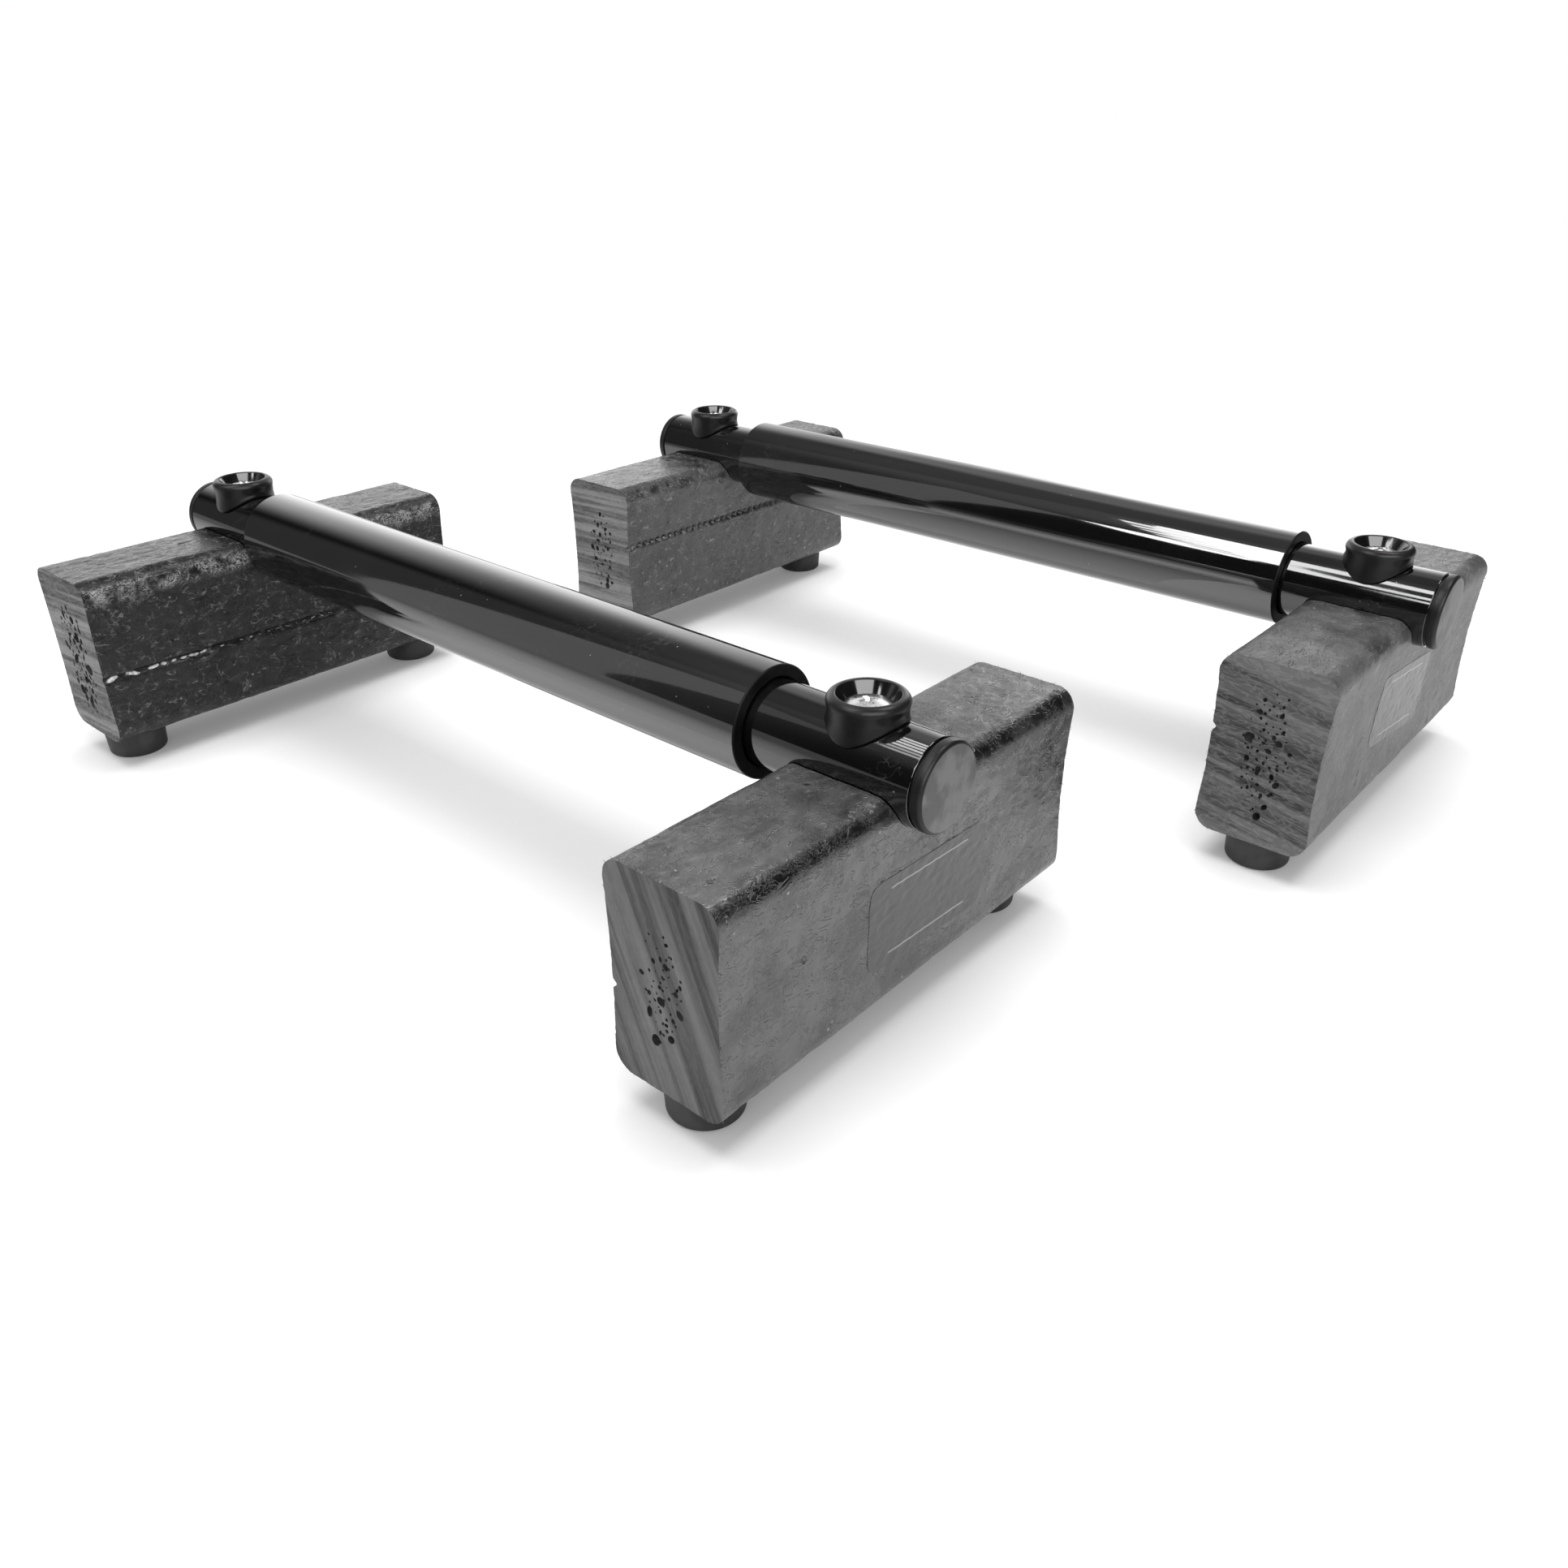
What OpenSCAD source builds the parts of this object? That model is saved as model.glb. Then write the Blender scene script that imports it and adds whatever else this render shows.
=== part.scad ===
// A matched pair of low parallette bars. On each, a steel tube is screwed down
// into notches in two blocks of recycled-plastic lumber, and a loose grip sleeve
// spins on the tube between the blocks.
// X runs along the bars, Y from the front bar to the rear one, and Z is up.
// The origin is on the floor, in the middle of the pair.

/* [Pair] */
// Distance between the centre lines of the two bars
pair_spacing = 210; // [170:1:400]
// How far the rear bar stands to the right of the front bar
pair_stagger = 57; // [0:1:120]

/* [Blocks] */
// Width of a block, measured along the bar
block_w = 38.1; // [32:0.1:55]
// Length of a block, measured across the bar
block_l = 152.4; // [110:0.1:165]
// Height of a block
block_h = 63.5; // [50:0.1:100]
// Radius of the four long edges
block_edge_r = 6.35; // [2:0.05:8]
// How far the moulded side faces are sunk at mid height
face_sink = 1; // [0.2:0.1:2]
// Height of the mould seam above the lumber's lower edge
seam_h = 26.4; // [16:0.1:46]
// Width of the seam groove at the sunk face
seam_w = 3; // [1:0.1:6]
// Depth of the seam groove below the sunk face
seam_depth = 1.4; // [0.4:0.1:3]

/* [Tube] */
// Length of the tube
tube_l = 355.6; // [300:0.1:500]
// Outer diameter of the tube
tube_d = 25.4; // [22:0.1:32]
// Wall of the tube
tube_wall = 2.1; // [1:0.1:3]
// Height of the tube's centre line above the top of the blocks
tube_rise = 1.1; // [-2:0.1:4]
// How far the tube runs past the outer face of a block
tube_overhang = 3.15; // [0:0.05:10]
// Clearance round the tube in the block's notch
notch_clear = 0.4; // [0.1:0.1:1]

/* [Grip sleeve] */
// Wall of the grip sleeve
grip_wall = 3.7; // [2:0.1:8]
// Running clearance between the tube and the sleeve
grip_clear = 0.3; // [0.1:0.05:0.8]
// End play of the sleeve between the two blocks, in all
grip_end_play = 19.1; // [8:0.1:60]
// Chamfer on the sleeve's ends
grip_chamfer = 0.6; // [0.1:0.1:1.5]
// How far the front sleeve lies from mid span
front_grip_shift = -3.5; // [-3.5:0.1:3.5]
// How far the rear sleeve lies from mid span
rear_grip_shift = 1.5; // [-3.5:0.1:3.5]

/* [End caps] */
// Thickness of a cap's head at its centre
cap_head_t = 3.7; // [2:0.1:8]
// Depth of the shadow groove between the tube's end and the head
cap_neck_t = 0.8; // [0.3:0.1:2]
// How far the neck is set in from the tube's surface
cap_neck_inset = 0.9; // [0.2:0.1:1.8]
// Radius of the head's rim
cap_edge_r = 1.3; // [0.3:0.1:1.8]
// Crown of the head's face
cap_crown = 0.5; // [0.1:0.1:1]
// Length of the plug inside the tube
plug_l = 12; // [6:0.5:13]
// Wall of the plug
plug_wall = 1.6; // [0.8:0.1:3]
// Height of the plug's gripping ribs
plug_rib = 0.9; // [0.3:0.1:1.5]
// Number of gripping ribs
plug_rib_count = 3; // [1:1:4]

/* [Saddle cups] */
// Diameter of a cup at its rim
cup_d = 22.4; // [18:0.1:25]
// Height of the rim above the top of the tube
cup_rise = 6; // [4.8:0.1:9]
// Radius of the rim's outer edge
cup_edge_r = 2.2; // [0.4:0.1:2.6]
// How far the cup's waist is drawn in
cup_waist = 0.4; // [0.1:0.1:0.8]
// Diameter of the conical recess at the rim
cup_mouth_d = 17.4; // [15:0.1:18.5]
// Diameter of the recess at the floor
cup_floor_d = 13.2; // [13.1:0.1:14.8]
// Depth of the recess
cup_recess = 4; // [2.5:0.1:4.3]

/* [Bar screws] */
// Length of a bar screw under its head
bar_screw_l = 63.5; // [45:0.5:70]
// Diameter of the bar screw's shank
bar_screw_d = 6; // [4:0.1:8]
// Diameter of the bar screw's head
bar_head_d = 12.8; // [9:0.1:13]
// Thickness of the bar screw's head at its centre
bar_head_t = 2.1; // [1.2:0.1:2.4]

/* [Feet] */
// Height of a rubber foot
foot_h = 11; // [8.5:0.1:25]
// Diameter of a foot where it meets the block
foot_d = 22; // [16:0.1:30]
// How much narrower a foot is at the floor
foot_taper = 1; // [0:0.1:3]
// Radius of a foot's lower edge
foot_edge_r = 1.5; // [0.3:0.1:2.5]
// Distance from a block's sawn end to the centre of a foot
foot_inset = 12.7; // [12:0.1:30]
// Diameter of the recess in a foot's underside
foot_recess_d = 11.2; // [10:0.1:13]
// Rubber left between the washer and the block
foot_web = 4; // [2:0.1:5]

/* [Foot fasteners] */
// Diameter of a foot's washer
washer_d = 10.6; // [8.6:0.1:10.9]
// Thickness of a foot's washer
washer_t = 1; // [0.5:0.1:1.5]
// Diameter of the foot screw's shank
foot_screw_d = 4.2; // [3:0.1:5]
// Length of a foot screw under its head
foot_screw_l = 25; // [14:0.5:32]
// Diameter of the foot screw's head
foot_head_d = 8; // [6.5:0.1:8.5]
// Thickness of the foot screw's head
foot_head_t = 2.4; // [1.2:0.1:3]

/* [Hidden] */
$fn = 96;

// Everyday clearances: two still parts that touch, and a screw in its own thread
seat_gap = 0.05;
thread_play = 0.05;
// A drilled hole's extra diameter over the screw that passes through it
hole_clear = 0.5;
// How far a cut runs past the surface that it opens
overcut = 1;
// Length of a screw's point, and the spare depth of its hole, per shank diameter
point_ratio = 1.1;
spare_ratio = 0.25;

FRONT = 0;
REAR = 1;
LEFT = -1;
RIGHT = 1;

bar_x = [-pair_stagger / 2, pair_stagger / 2];
bar_y = [-pair_spacing / 2, pair_spacing / 2];
// The rear bar's lumber lies the other way up, so its seam is nearer the top
seam_z = [seam_h, block_h - seam_h];
grip_shift = [front_grip_shift, rear_grip_shift];

tube_r = tube_d / 2;
tube_bore_r = tube_r - tube_wall;
block_top = foot_h + block_h;
tube_z = block_top + tube_rise;
block_x = tube_l / 2 - tube_overhang - block_w / 2;
span = 2 * block_x - block_w;

grip_l = span - grip_end_play;
grip_bore_r = tube_r + grip_clear;
grip_r = grip_bore_r + grip_wall;

cup_r = cup_d / 2;
cup_top = tube_r + cup_rise;
cup_floor = cup_top - cup_recess;
bar_hole_r = (bar_screw_d + hole_clear) / 2;

foot_y = block_l / 2 - foot_inset;
washer_z = foot_h - foot_web - washer_t;
foot_head_z = washer_z - foot_head_t;
foot_hole_r = (foot_screw_d + hole_clear) / 2;

lumber_grey = [0.30, 0.30, 0.30];
gloss_black = [0.05, 0.05, 0.05];
satin_black = [0.09, 0.09, 0.09];
cap_grey = [0.20, 0.20, 0.20];
rubber_black = [0.07, 0.07, 0.07];
zinc = [0.78, 0.78, 0.78];

// Radius of a circle whose arc rises by sagitta over a chord
function sagitta_r(chord, sagitta) = (chord * chord / 4 + sagitta * sagitta) / (2 * sagitta);

// Moves its children to the floor under one bar's middle
module on_bar(bar) {
    translate([bar_x[bar], bar_y[bar], 0]) children();
}

// Turns its children from standing along Z to lying along the bar, at the tube's height
module along_bar() {
    translate([0, 0, tube_z]) rotate([0, 90, 0]) children();
}

// Square with one pair of outer corners rounded, from the axis to r and from 0 to h
module rounded_disc_profile(r, h, edge_r) {
    square([r - edge_r, h]);
    square([r, h - edge_r]);
    translate([r - edge_r, h - edge_r]) circle(edge_r);
}

// A block's cross-section: round edges, sunk sides, and the seam groove on its +X side
module block_profile(seam_at) {
    flat_h = block_h - 2 * block_edge_r;
    sink_r = sagitta_r(flat_h, face_sink);
    face_x = block_w / 2;
    seam_bottom = face_x - face_sink - seam_depth;
    seam_slope = seam_w / 2 / seam_depth;
    seam_reach = seam_slope * (face_x + overcut - seam_bottom);
    difference() {
        union() {
            translate([-face_x, block_edge_r]) square([block_w, flat_h]);
            translate([-face_x + block_edge_r, 0]) square([block_w - 2 * block_edge_r, block_h]);
            for (x = [-1, 1], z = [block_edge_r, block_h - block_edge_r])
                translate([x * (face_x - block_edge_r), z]) circle(block_edge_r);
        }
        for (x = [-1, 1])
            translate([x * (face_x - face_sink + sink_r), block_h / 2]) circle(sink_r);
        polygon([
            [seam_bottom, seam_at],
            [face_x + overcut, seam_at - seam_reach],
            [face_x + overcut, seam_at + seam_reach],
        ]);
    }
}

// A sawn length of plastic lumber, notched for the tube and drilled for its screws
module block(bar, side) {
    pilot_r = bar_screw_d / 2 + thread_play;
    pilot_bottom = tube_z + cup_floor - bar_screw_l - spare_ratio * bar_screw_d;
    foot_pilot_top = foot_head_z + foot_head_t + foot_screw_l + spare_ratio * foot_screw_d;
    notch_r = tube_r + notch_clear;
    color(lumber_grey)
    on_bar(bar)
    translate([side * block_x, 0, 0])
    difference() {
        translate([0, 0, foot_h])
            rotate([90, 0, 0])
                linear_extrude(block_l, center = true)
                    mirror([side == RIGHT ? 1 : 0, 0]) block_profile(seam_z[bar]);
        translate([0, 0, notch_clear])
            along_bar() cylinder(h = block_w + 2 * overcut, r = notch_r, center = true);
        translate([0, 0, pilot_bottom])
            cylinder(h = block_top - pilot_bottom, r = pilot_r);
        for (y = [-foot_y, foot_y])
            translate([0, y, foot_h - overcut])
                cylinder(h = foot_pilot_top - foot_h + overcut, r = foot_screw_d / 2 + thread_play);
    }
}

// The steel tube, drilled straight through near each end for a bar screw
module tube(bar) {
    color(gloss_black)
    on_bar(bar)
    difference() {
        along_bar() difference() {
            cylinder(h = tube_l, r = tube_r, center = true);
            cylinder(h = tube_l + 2 * overcut, r = tube_bore_r, center = true);
        }
        for (side = [LEFT, RIGHT])
            translate([side * block_x, 0, tube_z])
                cylinder(h = tube_d + 2 * overcut, r = bar_hole_r, center = true);
    }
}

// The grip sleeve, a thick plastic pipe that spins on the tube
module grip(bar) {
    half_l = grip_l / 2;
    color(gloss_black)
    on_bar(bar)
    translate([grip_shift[bar], 0, 0])
    along_bar() rotate_extrude() polygon([
        [grip_bore_r, -half_l],
        [grip_r - grip_chamfer, -half_l],
        [grip_r, -half_l + grip_chamfer],
        [grip_r, half_l - grip_chamfer],
        [grip_r - grip_chamfer, half_l],
        [grip_bore_r, half_l],
    ]);
}

// Half-profile of an end cap's neck and crowned head, with the tube's end at height 0
module cap_head_profile() {
    crown_r = sagitta_r(2 * (tube_r - cap_edge_r), cap_crown);
    union() {
        square([tube_r - cap_neck_inset, cap_neck_t + cap_edge_r]);
        translate([0, cap_neck_t]) intersection() {
            union() {
                rounded_disc_profile(tube_r, cap_head_t - cap_crown, cap_edge_r);
                square([tube_r - cap_edge_r, cap_head_t]);
            }
            translate([0, cap_head_t - crown_r]) circle(crown_r, $fn = 360);
            square([tube_r, cap_head_t]);
        }
    }
}

// A push-in end cap: a crowned head as wide as the tube, on a ribbed hollow plug
module cap(bar, side) {
    core_r = tube_bore_r - plug_rib;
    rib_pitch = plug_l / (plug_rib_count + 1);
    rib_h = 0.6 * rib_pitch;
    color(cap_grey)
    on_bar(bar)
    mirror([side == LEFT ? 1 : 0, 0, 0])
    translate([tube_l / 2, 0, 0])
    along_bar() difference() {
        union() {
            rotate_extrude() cap_head_profile();
            translate([0, 0, -plug_l]) cylinder(h = plug_l + cap_neck_t, r = core_r);
            for (i = [1:plug_rib_count])
                translate([0, 0, -i * rib_pitch - rib_h])
                    cylinder(h = rib_h, r1 = core_r - plug_wall / 2, r2 = tube_bore_r - seat_gap);
        }
        translate([0, 0, -plug_l - overcut])
            cylinder(h = plug_l + overcut, r = core_r - plug_wall);
    }
}

// The cup that a bar screw pulls down: a saddle below, a polished cone above
module cup(bar, side) {
    wall_top = cup_top - cup_edge_r;
    color(satin_black)
    on_bar(bar)
    translate([side * block_x, 0, 0])
    difference() {
        translate([0, 0, tube_z]) rotate_extrude() difference() {
            union() {
                polygon([
                    [0, 0], [cup_r, 0], [cup_r, tube_r / 2],
                    [cup_r - cup_waist, (tube_r + wall_top) / 2],
                    [cup_r, wall_top], [0, wall_top],
                ]);
                translate([0, wall_top]) square([cup_r - cup_edge_r, cup_edge_r]);
                translate([cup_r - cup_edge_r, wall_top]) circle(cup_edge_r);
            }
            polygon([
                [0, cup_floor], [cup_floor_d / 2, cup_floor],
                [cup_mouth_d / 2, cup_top], [cup_mouth_d / 2, cup_top + overcut],
                [0, cup_top + overcut],
            ]);
            square([bar_hole_r, cup_top]);
        }
        along_bar() cylinder(h = 2 * cup_d, r = tube_r + seat_gap, center = true);
    }
}

// A screw that points down, with the underside of its head at height 0
module screw(shank_d, l, head_d, head_t, drive_depth) {
    point_l = point_ratio * shank_d;
    rim_t = head_t / 2;
    crown = head_t - rim_t;
    crown_r = sagitta_r(head_d, crown);
    drive_w = head_d / 7;
    drive_l = head_d * 0.55;
    difference() {
        union() {
            rotate_extrude() {
                square([head_d / 2, rim_t]);
                translate([0, rim_t]) intersection() {
                    translate([0, crown - crown_r]) circle(crown_r, $fn = 360);
                    square([head_d / 2, crown]);
                }
            }
            translate([0, 0, point_l - l]) cylinder(h = l - point_l + rim_t / 2, r = shank_d / 2);
            translate([0, 0, -l]) cylinder(h = point_l, r1 = shank_d / 12, r2 = shank_d / 2);
        }
        for (turn = [0, 90])
            rotate(turn) translate([-drive_l / 2, -drive_w / 2, head_t - drive_depth])
                cube([drive_l, drive_w, drive_depth + overcut]);
    }
}

// A long screw through the cup and both walls of the tube into the block
module bar_screw(bar, side) {
    color(zinc)
    on_bar(bar)
    translate([side * block_x, 0, tube_z + cup_floor])
        screw(bar_screw_d, bar_screw_l, bar_head_d, bar_head_t, bar_head_t * 0.7);
}

// A rubber foot, hollow below so that its screw head stays off the floor
module foot(bar, side, end) {
    floor_r = (foot_d - foot_taper) / 2;
    edge_at = foot_h - foot_edge_r;
    color(rubber_black)
    on_bar(bar)
    translate([side * block_x, end * foot_y, foot_h])
    mirror([0, 0, 1])
    rotate_extrude() difference() {
        union() {
            polygon([[0, 0], [foot_d / 2, 0], [floor_r, edge_at], [0, edge_at]]);
            square([floor_r - foot_edge_r, foot_h]);
            translate([floor_r - foot_edge_r, edge_at]) circle(foot_edge_r);
        }
        translate([0, foot_web]) square([foot_recess_d / 2, foot_h]);
        square([foot_hole_r, foot_h]);
    }
}

// Places its children at a bar's four feet
module at_feet(bar) {
    on_bar(bar)
        for (side = [LEFT, RIGHT], end = [-1, 1])
            translate([side * block_x, end * foot_y, 0]) children();
}

// The four washers that spread the foot screws' load in the rubber
module foot_washers(bar) {
    color(zinc)
    at_feet(bar) translate([0, 0, washer_z]) difference() {
        cylinder(h = washer_t, r = washer_d / 2);
        translate([0, 0, -overcut]) cylinder(h = washer_t + 2 * overcut, r = foot_hole_r);
    }
}

// The four screws that hold the feet, driven up into the blocks
module foot_screws(bar) {
    color(zinc)
    at_feet(bar) translate([0, 0, washer_z]) mirror([0, 0, 1])
        screw(foot_screw_d, foot_screw_l, foot_head_d, foot_head_t, foot_head_t * 0.6);
}

block(FRONT, LEFT);  // front_left_block
block(FRONT, RIGHT);  // front_right_block
tube(FRONT);  // front_tube
grip(FRONT);  // front_grip
cap(FRONT, LEFT);  // front_left_cap
cap(FRONT, RIGHT);  // front_right_cap
cup(FRONT, LEFT);  // front_left_cup
cup(FRONT, RIGHT);  // front_right_cup
bar_screw(FRONT, LEFT);  // front_left_bar_screw
bar_screw(FRONT, RIGHT);  // front_right_bar_screw
foot(FRONT, LEFT, -1);  // front_left_near_foot
foot(FRONT, LEFT, 1);  // front_left_far_foot
foot(FRONT, RIGHT, -1);  // front_right_near_foot
foot(FRONT, RIGHT, 1);  // front_right_far_foot
foot_washers(FRONT);  // front_foot_washers
foot_screws(FRONT);  // front_foot_screws
block(REAR, LEFT);  // rear_left_block
block(REAR, RIGHT);  // rear_right_block
tube(REAR);  // rear_tube
grip(REAR);  // rear_grip
cap(REAR, LEFT);  // rear_left_cap
cap(REAR, RIGHT);  // rear_right_cap
cup(REAR, LEFT);  // rear_left_cup
cup(REAR, RIGHT);  // rear_right_cup
bar_screw(REAR, LEFT);  // rear_left_bar_screw
bar_screw(REAR, RIGHT);  // rear_right_bar_screw
foot(REAR, LEFT, -1);  // rear_left_near_foot
foot(REAR, LEFT, 1);  // rear_left_far_foot
foot(REAR, RIGHT, -1);  // rear_right_near_foot
foot(REAR, RIGHT, 1);  // rear_right_far_foot
foot_washers(REAR);  // rear_foot_washers
foot_screws(REAR);  // rear_foot_screws
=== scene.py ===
"""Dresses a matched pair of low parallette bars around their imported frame.

Lengths are in metres, in the frame's own axes: X runs along the bars, Y from the
front bar to the rear one, and Z is up. The floor is at height 0.
"""

import logging
import math
from collections.abc import Callable, Sequence
from dataclasses import dataclass, field
from enum import Enum
from functools import cache
from typing import Any

import bmesh
import bpy
import numpy as np
from mathutils import Matrix, Vector, noise

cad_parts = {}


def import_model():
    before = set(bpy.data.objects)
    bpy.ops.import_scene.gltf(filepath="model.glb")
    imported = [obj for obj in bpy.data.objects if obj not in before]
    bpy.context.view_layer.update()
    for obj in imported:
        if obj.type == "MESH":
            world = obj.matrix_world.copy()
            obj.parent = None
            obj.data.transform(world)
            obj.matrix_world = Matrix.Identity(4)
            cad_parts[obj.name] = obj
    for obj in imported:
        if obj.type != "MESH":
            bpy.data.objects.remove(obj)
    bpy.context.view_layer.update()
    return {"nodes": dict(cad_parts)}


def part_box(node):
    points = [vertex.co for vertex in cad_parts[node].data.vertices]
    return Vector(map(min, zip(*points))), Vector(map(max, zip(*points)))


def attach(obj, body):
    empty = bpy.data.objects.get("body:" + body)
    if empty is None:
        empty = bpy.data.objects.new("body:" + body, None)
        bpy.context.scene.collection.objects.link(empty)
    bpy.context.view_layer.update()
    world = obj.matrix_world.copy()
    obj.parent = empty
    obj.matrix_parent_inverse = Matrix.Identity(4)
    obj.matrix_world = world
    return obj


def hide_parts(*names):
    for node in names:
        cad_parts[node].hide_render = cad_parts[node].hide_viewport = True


LOG = logging.getLogger("parallettes")
MM = 0.001


class Stand(Enum):
    """The two bars of the pair, by the word that their node names start with."""

    FRONT = "front"
    REAR = "rear"

    @property
    def still_body(self) -> str:
        """Name of the body that stands on the floor."""
        return self.node("stand")

    @property
    def spinning_body(self) -> str:
        """Name of the body that spins round the tube."""
        return self.node("sleeve")

    def node(self, *words: str) -> str:
        """The name of one of this bar's nodes or bodies."""
        return "_".join([self.value, *words])


class Direction(Enum):
    """A choice of two ends, each with its direction along an axis."""

    @property
    def word(self) -> str:
        """The word that stands in node names."""
        return self.name.lower()


class Side(Direction):
    """The two ends of a bar, each with the direction of its outer face along X."""

    LEFT = -1
    RIGHT = 1


class End(Direction):
    """The two sawn ends of a block, each with its direction along Y."""

    NEAR = -1
    FAR = 1


def math_method(operation: str, reflected: bool = False) -> Callable[..., "Value"]:
    """Makes a method of Value that adds one Math node.

    Args:
        operation: The node's operation.
        reflected: Whether the value stands on the right-hand side.

    Returns:
        The method.
    """

    def method(self: "Value", other: "Value | float" = 0.0) -> "Value":
        """The operation's result."""
        left, right = (other, self) if reflected else (self, other)
        return self.graph.math(operation, left, right)

    return method


class Value:
    """A node's output socket that takes part in Python arithmetic."""

    def __init__(self, graph: "Graph", socket: bpy.types.NodeSocket) -> None:
        """Wraps one output socket.

        Args:
            graph: The graph that new Math nodes go into.
            socket: The socket that carries the value.
        """
        self.graph = graph
        self.socket = socket

    __add__ = __radd__ = math_method("ADD")
    __mul__ = __rmul__ = math_method("MULTIPLY")
    __sub__ = math_method("SUBTRACT")
    __rsub__ = math_method("SUBTRACT", reflected=True)
    __truediv__ = math_method("DIVIDE")
    __rtruediv__ = math_method("DIVIDE", reflected=True)
    __pow__ = math_method("POWER")
    __abs__ = math_method("ABSOLUTE")
    at_most = math_method("MINIMUM")
    at_least = math_method("MAXIMUM")

    def ramp(self, low: float, high: float) -> "Value":
        """Eases from 0 to 1 as the value goes from low to high, which may be the smaller."""
        sockets = {"Value": self, "From Min": low, "From Max": high}
        return self.graph.step("ShaderNodeMapRange", sockets, interpolation_type="SMOOTHSTEP")

    def band(self, start: float, full: float, still_full: float, end: float) -> "Value":
        """Eases from 0 to 1 between start and full, and back between still_full and end."""
        return self.ramp(start, full) * self.ramp(end, still_full)

    def ridge(self, sharpness: float) -> "Value":
        """Turns a noise's middle level into thin lines: 1 on the line and 0 away from it."""
        return (1.0 - abs(self * 2.0 - 1.0)).at_least(0.0) ** sharpness


class Graph:
    """A node tree that is written as expressions."""

    def __init__(self, tree: bpy.types.NodeTree) -> None:
        """Starts on a node tree.

        Args:
            tree: The tree that the nodes go into.
        """
        self.tree = tree

    def node(
        self, kind: str, sockets: dict[str | int, Any] | None = None, **settings: Any
    ) -> bpy.types.Node:
        """Adds a node, sets its settings first and feeds its inputs after them.

        Args:
            kind: The node's type.
            sockets: Constants or Values by input name or number.
            **settings: The node's own properties.

        Returns:
            The node.
        """
        made = self.tree.nodes.new(kind)
        for name, value in settings.items():
            setattr(made, name, value)
        for name, value in (sockets or {}).items():
            self.feed(made.inputs[name], value)
        return made

    def feed(self, socket: bpy.types.NodeSocket, value: Any) -> None:
        """Links a Value to an input socket, or sets a constant on it.

        Args:
            socket: The input socket.
            value: The Value or the constant.
        """
        if isinstance(value, Value):
            self.tree.links.new(value.socket, socket)
        else:
            socket.default_value = value

    def out(self, node: bpy.types.Node, name: str | int = 0) -> Value:
        """One output of a node as a Value."""
        return Value(self, node.outputs[name])

    def step(
        self, kind: str, sockets: dict[str | int, Any] | None = None, output: str | int = 0, **settings: Any
    ) -> Value:
        """Adds a node and gives one of its outputs.

        Args:
            kind: The node's type.
            sockets: Constants or Values by input name or number.
            output: The output's name or number.
            **settings: The node's own properties.

        Returns:
            The output.
        """
        return self.out(self.node(kind, sockets, **settings), output)

    def math(self, operation: str, left: Value | float, right: Value | float) -> Value:
        """Adds a Math node and returns its result."""
        return self.step("ShaderNodeMath", {0: left, 1: right}, operation=operation)

    def vector_math(self, operation: str, left: Any, right: Any = (0, 0, 0), output: int = 0) -> Value:
        """Adds a Vector Math node and returns one of its outputs."""
        return self.step("ShaderNodeVectorMath", {0: left, 1: right}, output, operation=operation)

    def axes(self, vector: Value) -> tuple[Value, Value, Value]:
        """Splits a vector into its X, Y and Z."""
        made = self.node("ShaderNodeSeparateXYZ", {0: vector})
        return self.out(made, 0), self.out(made, 1), self.out(made, 2)

    def noise(
        self, at: Value, scale: float, detail: float = 3.0, rough: float = 0.5, swirl: float = 0.0
    ) -> Value:
        """Smooth noise from 0 to 1.

        Args:
            at: Coordinates in metres.
            scale: Features per metre.
            detail: Octaves.
            rough: How strong the finer octaves are.
            swirl: Distortion of the coordinates.

        Returns:
            The noise.
        """
        sockets = {"Vector": at, "Scale": scale, "Detail": detail, "Roughness": rough, "Distortion": swirl}
        return self.step("ShaderNodeTexNoise", sockets)

    def specks(self, at: Value, scale: float, radius: float, share: float) -> Value:
        """Scattered round specks.

        Args:
            at: Coordinates in metres.
            scale: Cells per metre.
            radius: A speck's radius, in cells.
            share: Share of the cells that hold a speck.

        Returns:
            1 inside a speck and 0 outside.
        """
        cells = self.node("ShaderNodeTexVoronoi", {"Vector": at, "Scale": scale})
        chance, _, _ = self.axes(self.out(cells, "Color"))
        near = self.out(cells, "Distance").ramp(radius, 0.5 * radius)
        return near * chance.ramp(1.0 - share, 1.0 - 0.7 * share)

    def place(
        self, at: Value, turn: Sequence[float] = (0, 0, 0), scale: Sequence[float] = (1, 1, 1)
    ) -> Value:
        """Turns and stretches coordinates.

        Args:
            at: The coordinates.
            turn: Rotation about X, Y and Z, in degrees.
            scale: Factor along X, Y and Z.

        Returns:
            The new coordinates.
        """
        rotation = [math.radians(angle) for angle in turn]
        turned = self.step("ShaderNodeMapping", {"Vector": at, "Rotation": rotation})
        return self.vector_math("MULTIPLY", turned, tuple(scale))

    def seen_as_background(self) -> Value:
        """Tells the rays that see the surroundings from those that light the object.

        Returns:
            1 for camera, glossy and transmission rays and 0 for the rest.
        """
        path = self.node("ShaderNodeLightPath")
        seen = self.out(path, "Is Camera Ray").at_least(self.out(path, "Is Glossy Ray"))
        return seen.at_least(self.out(path, "Is Transmission Ray"))

    def mix_colour(self, factor: Value | float, low: Any, high: Any) -> Value:
        """Blends two colours, each a grey level or a Value."""
        return self.step("ShaderNodeMix", {0: factor, 6: grey(low), 7: grey(high)}, 2, data_type="RGBA")


def grey(level: Any) -> Any:
    """Turns a grey level into an opaque colour and leaves a Value as it is."""
    return (level, level, level, 1.0) if isinstance(level, (int, float)) else level


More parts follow.
